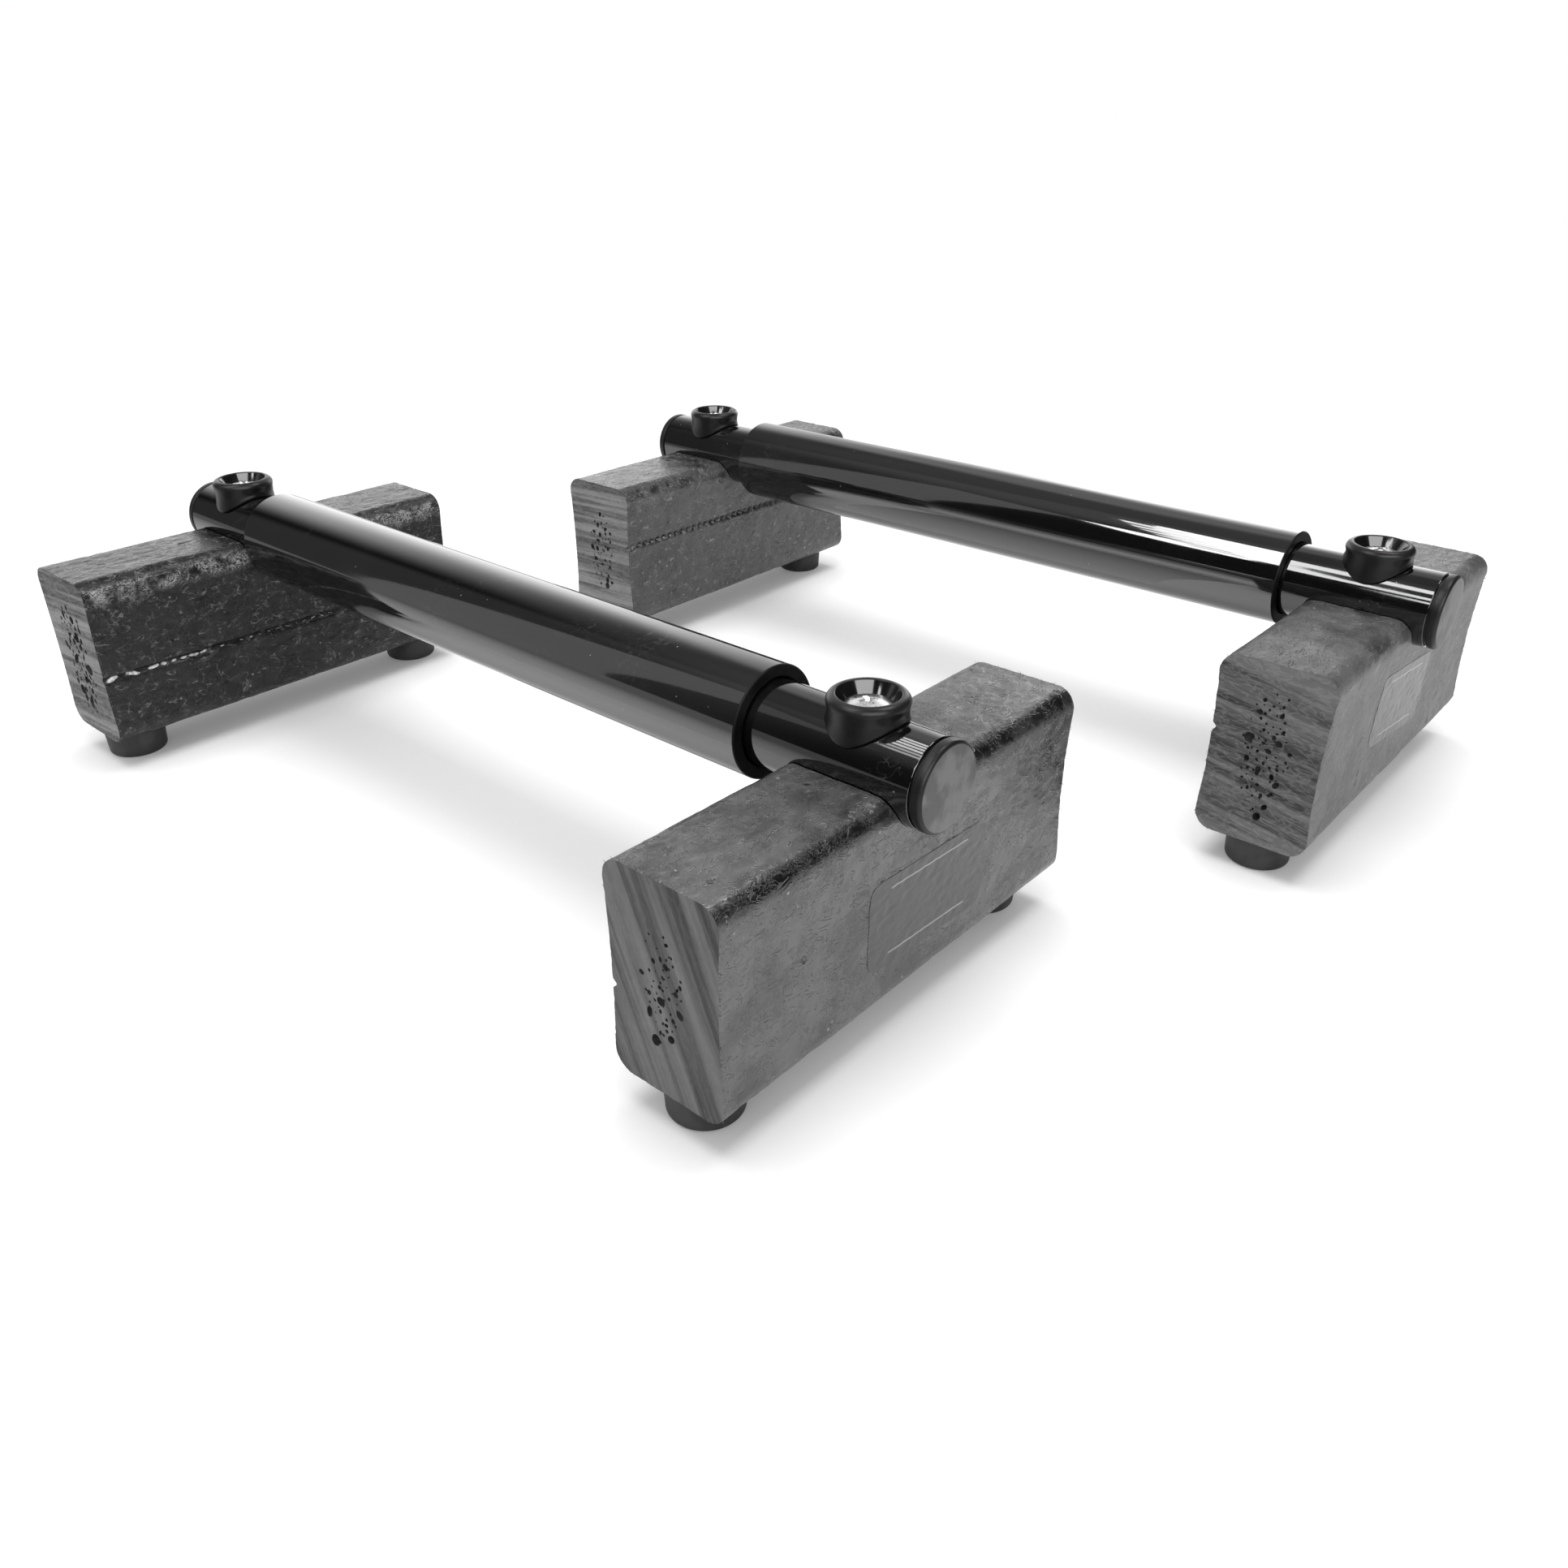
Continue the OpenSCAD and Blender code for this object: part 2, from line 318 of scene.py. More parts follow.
class SurfaceGraph(Graph):
    """A material's node tree."""

    def __init__(self, material: bpy.types.Material) -> None:
        """Empties a material's tree and adds its output.

        Args:
            material: The material.
        """
        material.use_nodes = True
        super().__init__(material.node_tree)
        self.tree.nodes.clear()
        self.output = self.node("ShaderNodeOutputMaterial")

    def here(self) -> Value:
        """The surface's object coordinates, in metres."""
        return self.step("ShaderNodeTexCoord", output="Object")

    def uv(self) -> Value:
        """The piece's own UV map."""
        return self.step("ShaderNodeTexCoord", output="UV")

    def glow(self, colour: Any, strength: Value | float) -> Value:
        """An Emission shader, where a white of strength 1 renders as white."""
        return self.step("ShaderNodeEmission", {"Color": grey(colour), "Strength": strength})

    def show(self, shader: Value) -> None:
        """Makes a shader the material's surface."""
        self.feed(self.output.inputs["Surface"], shader)

    def finish(
        self, colour: Value, roughness: Value, height: Value, relief: float, constants: dict[str, float]
    ) -> None:
        """Ends the material in one Principled shader.

        Args:
            colour: The base colour.
            roughness: The roughness.
            height: The surface's fine relief, from 0 to 1.
            relief: Real height of the relief, in metres.
            constants: What is the same all over, by socket name.
        """
        normal = self.step("ShaderNodeBump", {"Strength": 1.0, "Distance": relief, "Height": height})
        sockets = {"Base Color": colour, "Roughness": roughness, "Normal": normal, **constants}
        self.show(self.step("ShaderNodeBsdfPrincipled", sockets))


@dataclass(frozen=True)
class Finish:
    """A surface finish that becomes one material."""

    name: str

    def material(self) -> bpy.types.Material:
        """The finish's material, made when it is first asked for.

        Returns:
            The material.
        """
        made = bpy.data.materials.get(self.name)
        if made is None:
            made = bpy.data.materials.new(self.name)
            self.paint(SurfaceGraph(made))
        return made

    def paint(self, graph: SurfaceGraph) -> None:
        """Builds the material's nodes."""
        raise NotImplementedError


@dataclass(frozen=True)
class LumberSkin(Finish):
    """The moulded skin of recycled-plastic lumber: wrinkled, fibrous and flecked."""

    shade: float
    # Grey of the light fibres: partly their own paler plastic, partly painted glints.
    fibre_light: float
    roughness: float = 0.2
    ior: float = 1.75
    relief: float = 1.2 * MM
    mottle: float = 0.4
    # Painted highlight: strength of a band of bright fibre glints along the upper edge.
    edge_light: float = 0.0
    # Painted shade: strength of a dark band on the upper rounded edge.
    edge_dark: float = 0.0
    tuft_band: tuple[float, ...] = (64.0 * MM, 68.0 * MM, 71.1 * MM, 72.6 * MM)
    dark_band: tuple[float, ...] = (67.5 * MM, 70.5 * MM, 73.2 * MM, 74.0 * MM)
    tuft_shade: float = 0.5
    fleck_shade: float = 0.3
    pit_shade: float = 0.008
    # Painted shade: grey level of the dark edge band.
    bruise_shade: float = 0.002
    blotches_per_m: float = 60.0
    fibres_per_m: float = 230.0
    patches_per_m: float = 150.0
    tufts_per_m: float = 850.0
    flecks_per_m: float = 260.0
    grains_per_m: float = 760.0
    pits_per_m: float = 150.0
    fibre_cover: float = 0.75
    fleck_cover: float = 0.6
    pit_cover: float = 0.85

    def fibres(self, graph: SurfaceGraph, here: Value) -> Value:
        """Broken hairs along the lumber and finer curls in patches.

        Args:
            graph: The material's node tree.
            here: The object coordinates.

        Returns:
            1 on a fibre and 0 between them.
        """
        broken = graph.noise(here, 240.0, 1.0).ramp(0.46, 0.54)
        along = graph.place(here, scale=(1.0, 0.5, 1.0))
        hairs = graph.noise(along, self.fibres_per_m, 2.0, 0.5, 1.6).ridge(34.0) * broken
        patchy = graph.noise(here, self.patches_per_m, 2.0).ramp(0.3, 0.7)
        curls = graph.noise(here, 2.6 * self.fibres_per_m, 1.0, 0.5, 2.6).ridge(22.0) * patchy
        return hairs.at_least(curls * 0.55)

    def tufts(self, graph: SurfaceGraph, here: Value, up: Value) -> Value:
        """Painted highlight: fine bright fibre streaks along the upper edge, standing in for glints where
        light catches the fibres.

        Args:
            graph: The material's node tree.
            here: The object coordinates.
            up: Their height.

        Returns:
            1 on a fibre and 0 between them.
        """
        at = graph.place(here, scale=(1.0, 0.6, 0.7))
        fine = graph.noise(at, self.tufts_per_m, 2.0, 0.5, 1.6).ridge(11.0)
        return fine * graph.noise(here, self.patches_per_m, 2.0).ramp(0.35, 0.6) * up.band(*self.tuft_band)

    def paint(self, graph: SurfaceGraph) -> None:
        """Blotchy grey with light squiggly fibres that are partly painted glints, dark pits and pale
        flecks, with a painted glint band and a painted shade band along the upper edge.

        Args:
            graph: The material's node tree.
        """
        here = graph.here()
        _, _, up = graph.axes(here)
        blotch = graph.noise(here, self.blotches_per_m, 4.0, 0.6)
        fibre = self.fibres(graph, here)
        fleck = graph.specks(here, self.flecks_per_m, 0.16, 0.07)
        pit = graph.specks(graph.place(here, turn=(0, 0, 37)), self.pits_per_m, 0.22, 0.14)
        dark, light = (1.0 - self.mottle) * self.shade, (1.0 + self.mottle) * self.shade
        body = graph.mix_colour(blotch.ramp(0.38, 0.62), dark, light)
        layers = (
            # light fibres, partly painted glints
            (fibre * self.fibre_cover, self.fibre_light),
            # painted highlight: glint band along the upper edge
            (self.tufts(graph, here, up) * self.edge_light, self.tuft_shade),
            # painted shade: dark band on the upper rounded edge
            (up.band(*self.dark_band) * self.edge_dark, self.bruise_shade),
            (fleck * self.fleck_cover, self.fleck_shade),
            (pit * self.pit_cover, self.pit_shade),
        )
        for cover, shade in layers:
            body = graph.mix_colour(cover, body, shade)
        grain = graph.noise(graph.place(here, scale=(1.0, 0.5, 1.0)), self.grains_per_m, 2.0, 0.6)
        height = blotch * 0.4 + fibre * 0.2 + grain * 0.1 - pit * 0.4
        rough = self.roughness + blotch * 0.16 - fibre * 0.1
        graph.finish(body, rough, height, self.relief, {"IOR": self.ior})


@dataclass(frozen=True)
class SawnFace(Finish):
    """A sawn end of the lumber, with the blade's streaks across its foamed core."""

    shade: float
    streak_turn: float
    streaks_per_m: float
    streak_depth: float
    fuzz: float = 0.4
    relief: float = 0.5 * MM
    torn_shade: float = 0.4
    torn_cover: float = 0.5
    tears_per_m: float = 600.0
    clouds_per_m: float = 80.0

    def paint(self, graph: SurfaceGraph) -> None:
        """Grey with long dark and light streaks, torn flecks and a fine saw bump.

        Args:
            graph: The material's node tree.
        """
        here = graph.here()
        turn = (0, self.streak_turn, 0)
        along_cut = graph.place(here, turn, (0.03, 0.2, 1.0))
        streak = graph.noise(along_cut, self.streaks_per_m, 3.0, 0.6, 0.1)
        broad = graph.noise(along_cut, 0.3 * self.streaks_per_m, 2.0, 0.5, 0.2)
        torn_at = graph.place(here, turn, (0.3, 1.0, 1.0))
        torn = graph.noise(torn_at, self.tears_per_m, 2.0, 0.5, 0.8).ridge(10.0) * self.fuzz
        cloud = graph.noise(here, self.clouds_per_m, 3.0, 0.6)
        cut = streak * 0.6 + broad * 0.4
        level = cut.ramp(0.40, 0.60)
        low = (1.0 - self.streak_depth) * self.shade
        high = (1.0 + 1.2 * self.streak_depth) * self.shade
        body = graph.mix_colour(level * (0.5 + cloud * 0.7), low, high)
        body = graph.mix_colour(torn * self.torn_cover, body, self.torn_shade)
        rough = 0.55 + level * 0.12 - torn * 0.15
        graph.finish(body, rough, cut + torn * 0.4, self.relief, {"Specular IOR Level": 0.6})


@dataclass(frozen=True)
class RoughPlastic(Finish):
    """Plain torn or drilled plastic: the pores' insides, darkened as painted shade, the notch, the flash
    and the burrs.
    """

    shade: float
    roughness: float = 0.7
    grain_per_m: float = 900.0
    grain_height: float = 0.1 * MM

    def paint(self, graph: SurfaceGraph) -> None:
        """A grainy grey.

        Args:
            graph: The material's node tree.
        """
        grain = graph.noise(graph.here(), self.grain_per_m, 3.0, 0.6)
        body = graph.mix_colour(grain.ramp(0.35, 0.65), 0.6 * self.shade, 1.5 * self.shade)
        graph.finish(body, self.roughness + grain * 0.1, grain, self.grain_height, {})


@dataclass(frozen=True)
class GlossBlack(Finish):
    """Smooth gloss black, with fingerprints, fine scratches and dust."""

    shade: float = 0.003
    roughness: float = 0.05
    ior: float = 2.1
    dust_share: float = 0.10
    dust_shade: float = 0.35
    orange_peel: float = 0.004 * MM
    smudges_per_m: float = 28.0
    motes_per_m: float = 330.0
    scratches_per_m: float = 420.0
    scratch_cover: float = 0.12
    dust_cover: float = 0.6

    def paint(self, graph: SurfaceGraph) -> None:
        """Near black, lightly smudged and dusty.

        Args:
            graph: The material's node tree.
        """
        here = graph.here()
        smudge = graph.noise(here, self.smudges_per_m, 3.0, 0.6).ramp(0.5, 0.75)
        dust = graph.specks(here, self.motes_per_m, 0.09, self.dust_share)
        scratch_at = graph.place(here, turn=(20, 0, 35), scale=(1.0, 0.06, 1.0))
        scratch = graph.noise(scratch_at, self.scratches_per_m, 1.0, 0.5, 0.1).ridge(60.0)
        scratch = scratch * graph.noise(here, 40.0, 1.0).ramp(0.55, 0.7)
        body = graph.mix_colour(smudge * 0.35, self.shade, 2.4 * self.shade)
        cover = (dust * self.dust_cover).at_least(scratch * self.scratch_cover)
        body = graph.mix_colour(cover, body, self.dust_shade)
        rough = self.roughness + smudge * 0.05 + dust * 0.3 + scratch * 0.12
        graph.finish(body, rough, graph.noise(here, 260.0, 2.0), self.orange_peel, {"IOR": self.ior})


@dataclass(frozen=True)
class MouldedPlastic(Finish):
    """A satin moulding: even, with a fine mould grain and soft handling marks."""

    shade: float
    roughness: float
    ior: float = 1.5
    mottle: float = 0.25
    grain_per_m: float = 1500.0
    grain_height: float = 0.02 * MM
    clouds_per_m: float = 110.0
    rubs_per_m: float = 420.0

    def paint(self, graph: SurfaceGraph) -> None:
        """An even dark grey, a little uneven in sheen.

        Args:
            graph: The material's node tree.
        """
        here = graph.here()
        grain = graph.noise(here, self.grain_per_m, 2.0, 0.5)
        cloud = graph.noise(here, self.clouds_per_m, 3.0, 0.55)
        rub = graph.noise(graph.place(here, scale=(1.0, 1.0, 0.25)), self.rubs_per_m, 3.0, 0.6)
        low = (1.0 - self.mottle) * self.shade
        high = (1.0 + self.mottle) * self.shade
        body = graph.mix_colour(cloud.ramp(0.4, 0.6) * 0.7 + rub * 0.3, low, high)
        rough = self.roughness + cloud * 0.12 - rub * 0.06
        graph.finish(body, rough, grain * 0.7 + rub * 0.3, self.grain_height, {"IOR": self.ior})


@dataclass(frozen=True)
class PlatedSteel(Finish):
    """Bright zinc plate, slightly streaked and worn by the driver."""

    shade: float = 0.82
    roughness: float = 0.2
    grain_height: float = 0.01 * MM
    clouds_per_m: float = 260.0
    marks_per_m: float = 1800.0

    def paint(self, graph: SurfaceGraph) -> None:
        """A bright metal with fine turning marks.

        Args:
            graph: The material's node tree.
        """
        here = graph.here()
        cloud = graph.noise(here, self.clouds_per_m, 3.0, 0.6)
        body = graph.mix_colour(cloud.ramp(0.3, 0.7), 0.7 * self.shade, self.shade)
        fine = graph.noise(here, self.marks_per_m, 2.0)
        graph.finish(body, self.roughness + cloud * 0.16, fine, self.grain_height, {"Metallic": 1.0})


@dataclass(frozen=True)
class LabelFilm(Finish):
    """A thin printed film, blank but for a fine rule along its top and its foot."""

    shade: float = 0.022
    ior: float = 1.72
    ripple: float = 0.015 * MM
    rule_shade: float = 0.3
    rule_margin: float = 0.13
    rule_half_width: float = 0.012
    rule_start: float = 0.16
    rule_cover: float = 0.9
    clouds_per_m: float = 130.0
    ripples_per_m: float = 380.0

    def paint(self, graph: SurfaceGraph) -> None:
        """A smooth grey with two lighter rules, read from the film's own UV map.

        Args:
            graph: The material's node tree.
        """
        across, up, _ = graph.axes(graph.uv())
        here = graph.here()
        half, start = self.rule_half_width, self.rule_start
        from_rule = abs(abs(up - 0.5) - (0.5 - self.rule_margin))
        ends = across.band(start, start + half, 1.0 - start - half, 1.0 - start)
        rule = from_rule.ramp(half, 0.5 * half) * ends
        cloud = graph.noise(here, self.clouds_per_m, 3.0, 0.6)
        body = graph.mix_colour(cloud.ramp(0.3, 0.7), 0.88 * self.shade, 1.1 * self.shade)
        body = graph.mix_colour(rule * self.rule_cover, body, self.rule_shade)
        wavy = graph.noise(here, self.ripples_per_m, 2.0)
        graph.finish(body, 0.26 + cloud * 0.12, wavy, self.ripple, {"IOR": self.ior})


POWDER_COAT = GlossBlack("powder_coat", roughness=0.06, ior=1.8, dust_share=0.14, orange_peel=0.006 * MM)
POLISHED_PIPE = GlossBlack("polished_pipe")
CAP_PLASTIC = MouldedPlastic("cap_plastic", shade=0.095, roughness=0.46, mottle=0.5)
CAP_RIM = MouldedPlastic("cap_rim", shade=0.01, roughness=0.36, ior=1.36)
CUP_PLASTIC = MouldedPlastic("cup_moulding", shade=0.008, roughness=0.32, ior=1.36)
CUP_POLISH = MouldedPlastic("cup_polish", shade=0.006, roughness=0.08, ior=1.75, grain_height=0.002 * MM)
RUBBER = MouldedPlastic("rubber", shade=0.022, roughness=0.58, mottle=0.4, grain_height=0.06 * MM)
ZINC = PlatedSteel("bright_zinc")
SLEEVE_END = MouldedPlastic("sleeve_end", shade=0.004, roughness=0.45, ior=1.25)
# Painted shade: the pores' insides are near black so they read as deep shadowed holes.
PAINTED_PORE_SHADE = RoughPlastic("pore_lining", shade=0.012)
NOTCH_WALL = RoughPlastic("notch_wall", shade=0.03)
FILM = LabelFilm("label_film")


@dataclass
class Outline:
    """A half-profile in a plane of radius and height, drawn point by point."""

    points: list[tuple[float, float]] = field(default_factory=list)

    def to(self, radius: float, height: float) -> "Outline":
        """Adds a corner."""
        self.points.append((radius, height))
        return self

    def arc(
        self, centre: tuple[float, float], radius: float, start: float, stop: float, steps: int = 6
    ) -> "Outline":
        """Adds an arc.

        Args:
            centre: The arc's centre.
            radius: The arc's radius.
            start: First angle, in degrees, anticlockwise from the radius axis.
            stop: Last angle.
            steps: Number of chords.

        Returns:
            This outline.
        """
        for i in range(steps + 1):
            angle = math.radians(start + (stop - start) * i / steps)
            self.points.append(
                (centre[0] + radius * math.cos(angle), centre[1] + radius * math.sin(angle))
            )
        return self


def make_mesh(name: str, points: Any, faces: list[Sequence[int]]) -> bpy.types.Mesh:
    """Makes a closed, smooth, outward-facing mesh.

    Args:
        name: The mesh's name.
        points: Vertex positions.
        faces: Vertex numbers of each face.

    Returns:
        The mesh.
    """
    mesh = bpy.data.meshes.new(name)
    mesh.from_pydata([tuple(p) for p in points], [], faces)
    edit = bmesh.new()
    edit.from_mesh(mesh)
    bmesh.ops.remove_doubles(edit, verts=edit.verts, dist=1e-3 * MM)
    bmesh.ops.recalc_face_normals(edit, faces=edit.faces)
    edit.to_mesh(mesh)
    edit.free()
    mesh.shade_smooth()
    return mesh


def grid_faces(rows: int, columns: int, wrap_rows: bool, wrap_columns: bool) -> list[Sequence[int]]:
    """Quads of a grid of vertices that are numbered row by row.

    Args:
        rows: Number of rows.
        columns: Number of columns.
        wrap_rows: Whether the last row joins the first.
        wrap_columns: Whether the last column joins the first.

    Returns:
        The quads.
    """
    faces = []
    for i in range(rows if wrap_rows else rows - 1):
        for j in range(columns if wrap_columns else columns - 1):
            below, beside = (i + 1) % rows, (j + 1) % columns
            corners = (i * columns + j, i * columns + beside, below * columns + beside, below * columns + j)
            faces.append(corners)
    return faces


def turned_mesh(name: str, outline: Outline, closed: bool, segments: int = 128) -> bpy.types.Mesh:
    """Revolves an outline round Z.

    Args:
        name: The mesh's name.
        outline: The half-profile. An open one starts and ends on the axis.
        closed: Whether the outline is a loop that keeps off the axis.
        segments: Number of steps round the axis.

    Returns:
        The mesh.
    """
    turns = np.linspace(0.0, 2.0 * math.pi, segments, endpoint=False)
    profile = np.array(outline.points)
    radius, height = profile[:, :1], profile[:, 1:]
    points = np.stack(
        [radius * np.cos(turns), radius * np.sin(turns), np.repeat(height, segments, axis=1)], axis=2
    )
    faces = grid_faces(len(profile), segments, closed, True)
    return make_mesh(name, points.reshape(-1, 3), faces)


def add_object(name: str, mesh: bpy.types.Mesh, finishes: Sequence[Finish] = ()) -> bpy.types.Object:
    """Links a mesh object to the scene.

    Args:
        name: The object's name.
        mesh: Its mesh.
        finishes: Finishes for its material slots, in order.

    Returns:
        The object.
    """
    made = bpy.data.objects.new(name, mesh)
    bpy.context.scene.collection.objects.link(made)
    for finish in finishes:
        mesh.materials.append(finish.material())
    return made


def bake_modifiers(piece: bpy.types.Object) -> None:
    """Turns an object's modifiers into its plain mesh.

    Args:
        piece: The object.
    """
    bpy.context.view_layer.update()
    seen = piece.evaluated_get(bpy.context.evaluated_depsgraph_get())
    mesh = bpy.data.meshes.new_from_object(seen)
    old = piece.data
    piece.modifiers.clear()
    piece.data = mesh
    mesh.name = piece.name
    bpy.data.meshes.remove(old)


def cut_away(piece: bpy.types.Object, cutter: bpy.types.Object) -> None:
    """Subtracts a closed cutter from a piece and removes the cutter.

    Args:
        piece: The piece that is cut.
        cutter: The tool, whose faces keep their material numbers.
    """
    modifier = piece.modifiers.new("cut", "BOOLEAN")
    modifier.operation = "DIFFERENCE"
    modifier.solver = "MANIFOLD"
    modifier.object = cutter
    bake_modifiers(piece)
    mesh = cutter.data
    bpy.data.objects.remove(cutter)
    bpy.data.meshes.remove(mesh)


def crisp_edges(piece: bpy.types.Object, angle: float = 38.0) -> None:
    """Shades a piece smooth but for its edges sharper than an angle in degrees."""
    piece.data.shade_smooth()
    piece.data.set_sharp_from_angle(angle=math.radians(angle))


class Grower(Graph):
    """A Geometry Nodes tree with named inputs that is grown into plain meshes."""

    def __init__(self, name: str) -> None:
        """Starts a tree that takes and gives geometry.

        Args:
            name: The tree's name.
        """
        super().__init__(bpy.data.node_groups.new(name, "GeometryNodeTree"))
        interface = self.tree.interface
        interface.new_socket("Geometry", in_out="INPUT", socket_type="NodeSocketGeometry")
        interface.new_socket("Geometry", in_out="OUTPUT", socket_type="NodeSocketGeometry")
        self.given = self.node("NodeGroupInput")
        self.result = self.node("NodeGroupOutput")

    def parameters(self, kind: str, *names: str) -> list[Value]:
        """Adds named inputs of one kind.

        Args:
            kind: Float, Vector, Int or Material.
            *names: The inputs' names.

        Returns:
            The inputs' values inside the tree.
        """
        for name in names:
            self.tree.interface.new_socket(name, in_out="INPUT", socket_type=f"NodeSocket{kind}")
        return [self.out(self.given, name) for name in names]

    def random(self, low: Any, high: Any, seed: Any) -> Value:
        """A random number or vector for each point.

        Args:
            low: Lowest value, a number or a triple.
            high: Highest value.
            seed: The seed.

        Returns:
            The random value.
        """
        kind, first, output = ("FLOAT_VECTOR", 0, 0) if isinstance(low, tuple) else ("FLOAT", 2, 1)
        sockets = {first: low, first + 1: high, "Seed": seed}
        return self.step("FunctionNodeRandomValue", sockets, output, data_type=kind)

    def chance(self, share: float, seed: Any) -> Value:
        """Picks a random share of the points."""
        sockets = {"Probability": share, "Seed": seed}
        return self.step("FunctionNodeRandomValue", sockets, 3, data_type="BOOLEAN")

    def position(self) -> Value:
        """Where each point lies."""
        return self.step("GeometryNodeInputPosition")

    def rotation(self, euler: Value) -> Value:
        """A rotation from three angles in radians."""
        return self.step("FunctionNodeEulerToRotation", {0: euler})

    def laid(self, geometry: Value, at: Any, turn: Sequence[float]) -> Value:
        """Turns geometry by three angles in radians and moves it to its place."""
        sockets = {"Geometry": geometry, "Translation": at, "Rotation": turn}
        return self.step("GeometryNodeTransform", sockets)

    def spaced(self, curve: Value, spacing: Value) -> Value:
        """Points along a curve at an even spacing."""
        return self.step("GeometryNodeResampleCurve", {"Curve": curve, "Length": spacing}, mode="LENGTH")

    def planted(self, points: Value, piece: Value, turn: Value, size: Value, keep: Any = True) -> Value:
        """Puts a copy of a piece on each point.

        Args:
            points: The points.
            piece: The piece.
            turn: Each copy's rotation.
            size: Each copy's scale.
            keep: Which points get a copy.

        Returns:
            The copies, as instances.
        """
        sockets = {"Points": points, "Selection": keep, "Instance": piece, "Rotation": turn, "Scale": size}
        return self.step("GeometryNodeInstanceOnPoints", sockets)

    def end(self, geometry: Value, smooth: bool = True) -> "Grower":
        """Realizes the geometry, shades it and gives it its material.

        Args:
            geometry: What the tree has made.
            smooth: Whether faces are shaded smooth.

        Returns:
            This tree.
        """
        material, = self.parameters("Material", "Material")
        real = self.step("GeometryNodeRealizeInstances", {"Geometry": geometry})
        shaded = self.step("GeometryNodeSetShadeSmooth", {"Geometry": real, "Shade Smooth": smooth})
        dressed = self.step("GeometryNodeSetMaterial", {"Geometry": shaded, "Material": material})
        self.feed(self.result.inputs[0], dressed)
        return self

    def grow(
        self, name: str, sizes: dict[str, Any], finish: Finish, base: bpy.types.Mesh | None = None
    ) -> bpy.types.Object:
        """Runs the tree and keeps its result as a plain mesh object.

        Args:
            name: The object's name.
            sizes: The tree's inputs by name.
            finish: The finish of what is grown.
            base: The mesh that the tree starts from, if it needs one.

        Returns:
            The object.
        """
        piece = add_object(name, base or bpy.data.meshes.new(name))
        modifier = piece.modifiers.new("grow", "NODES")
        modifier.node_group = self.tree
        identifiers = {s.name: s.identifier for s in self.tree.interface.items_tree if s.in_out == "INPUT"}
        for key, value in {**sizes, "Material": finish.material()}.items():
            modifier[identifiers[key]] = value
        bake_modifiers(piece)
        return piece


@cache
def pipe_stock() -> Grower:
    """Pipe made by sweeping the section of its wall round a circle and laying it along X.

    Returns:
        The tree, which is made once.
    """
    tree = Grower("pipe_stock")
    outer, wall, length, edge = tree.parameters("Float", "Outer Radius", "Wall", "Length", "Edge Radius")
    middle, = tree.parameters("Vector", "Middle")
    ring = tree.step("GeometryNodeCurvePrimitiveCircle", {"Resolution": 192, "Radius": outer - wall * 0.5})
    section = tree.step("GeometryNodeCurvePrimitiveQuadrilateral", {"Width": wall, "Height": length})
    fillet = {"Curve": section, "Count": 6, "Radius": edge, "Limit Radius": True}
    rounded = tree.step("GeometryNodeFilletCurve", fillet, mode="POLY")
    swept = tree.step("GeometryNodeCurveToMesh", {"Curve": ring, "Profile Curve": rounded})
    return tree.end(tree.laid(swept, middle, (0.0, math.pi / 2, 0.0)))


@cache
def seam_flash() -> Grower:
    """Lumps of flash that squeezed out of the mould's seam, strung along a line.

    Returns:
        The tree, which is made once.
    """
    tree = Grower("seam_flash")
    start, stop = tree.parameters("Vector", "Start", "Stop")
    names = ("Spacing", "Lump Length", "Lump Width", "Fade Length")
    spacing, length, width, fade = tree.parameters("Float", *names)
    seed, = tree.parameters("Int", "Seed")
    line = tree.step("GeometryNodeCurvePrimitiveLine", {"Start": start, "End": stop})
    lump = tree.step("GeometryNodeMeshIcoSphere", {"Radius": 0.5, "Subdivisions": 3})
    run = tree.vector_math("DISTANCE", tree.position(), start, 1)
    ease = 1.0 - (run / fade).at_most(1.0) * 0.86
    sizes = {
        0: width * tree.random(0.6, 1.0, seed) * ease,
        1: length * tree.random(0.4, 1.15, seed + 1.0) * (0.35 + ease * 0.65),
        2: width * tree.random(0.55, 1.15, seed + 2.0) * ease,
    }
    size = tree.step("ShaderNodeCombineXYZ", sizes)
    lean = tree.rotation(tree.random((-0.35, -0.25, -0.3), (0.35, 0.25, 0.3), seed + 3.0))
    strung = tree.planted(tree.spaced(line, spacing), lump, lean, size, tree.chance(0.86, seed + 4.0))
    real = tree.step("GeometryNodeRealizeInstances", {"Geometry": strung})
    bumpy = {"Vector": tree.position(), "Scale": 700.0, "Detail": 2.0}
    wobble = tree.step("ShaderNodeTexNoise", bumpy, "Color")
    push = tree.vector_math("SUBTRACT", wobble, (0.5, 0.5, 0.5))
    push = tree.vector_math("MULTIPLY", push, (1.1 * MM, 1.4 * MM, 1.1 * MM))
    return tree.end(tree.step("GeometryNodeSetPosition", {"Geometry": real, "Offset": push}))


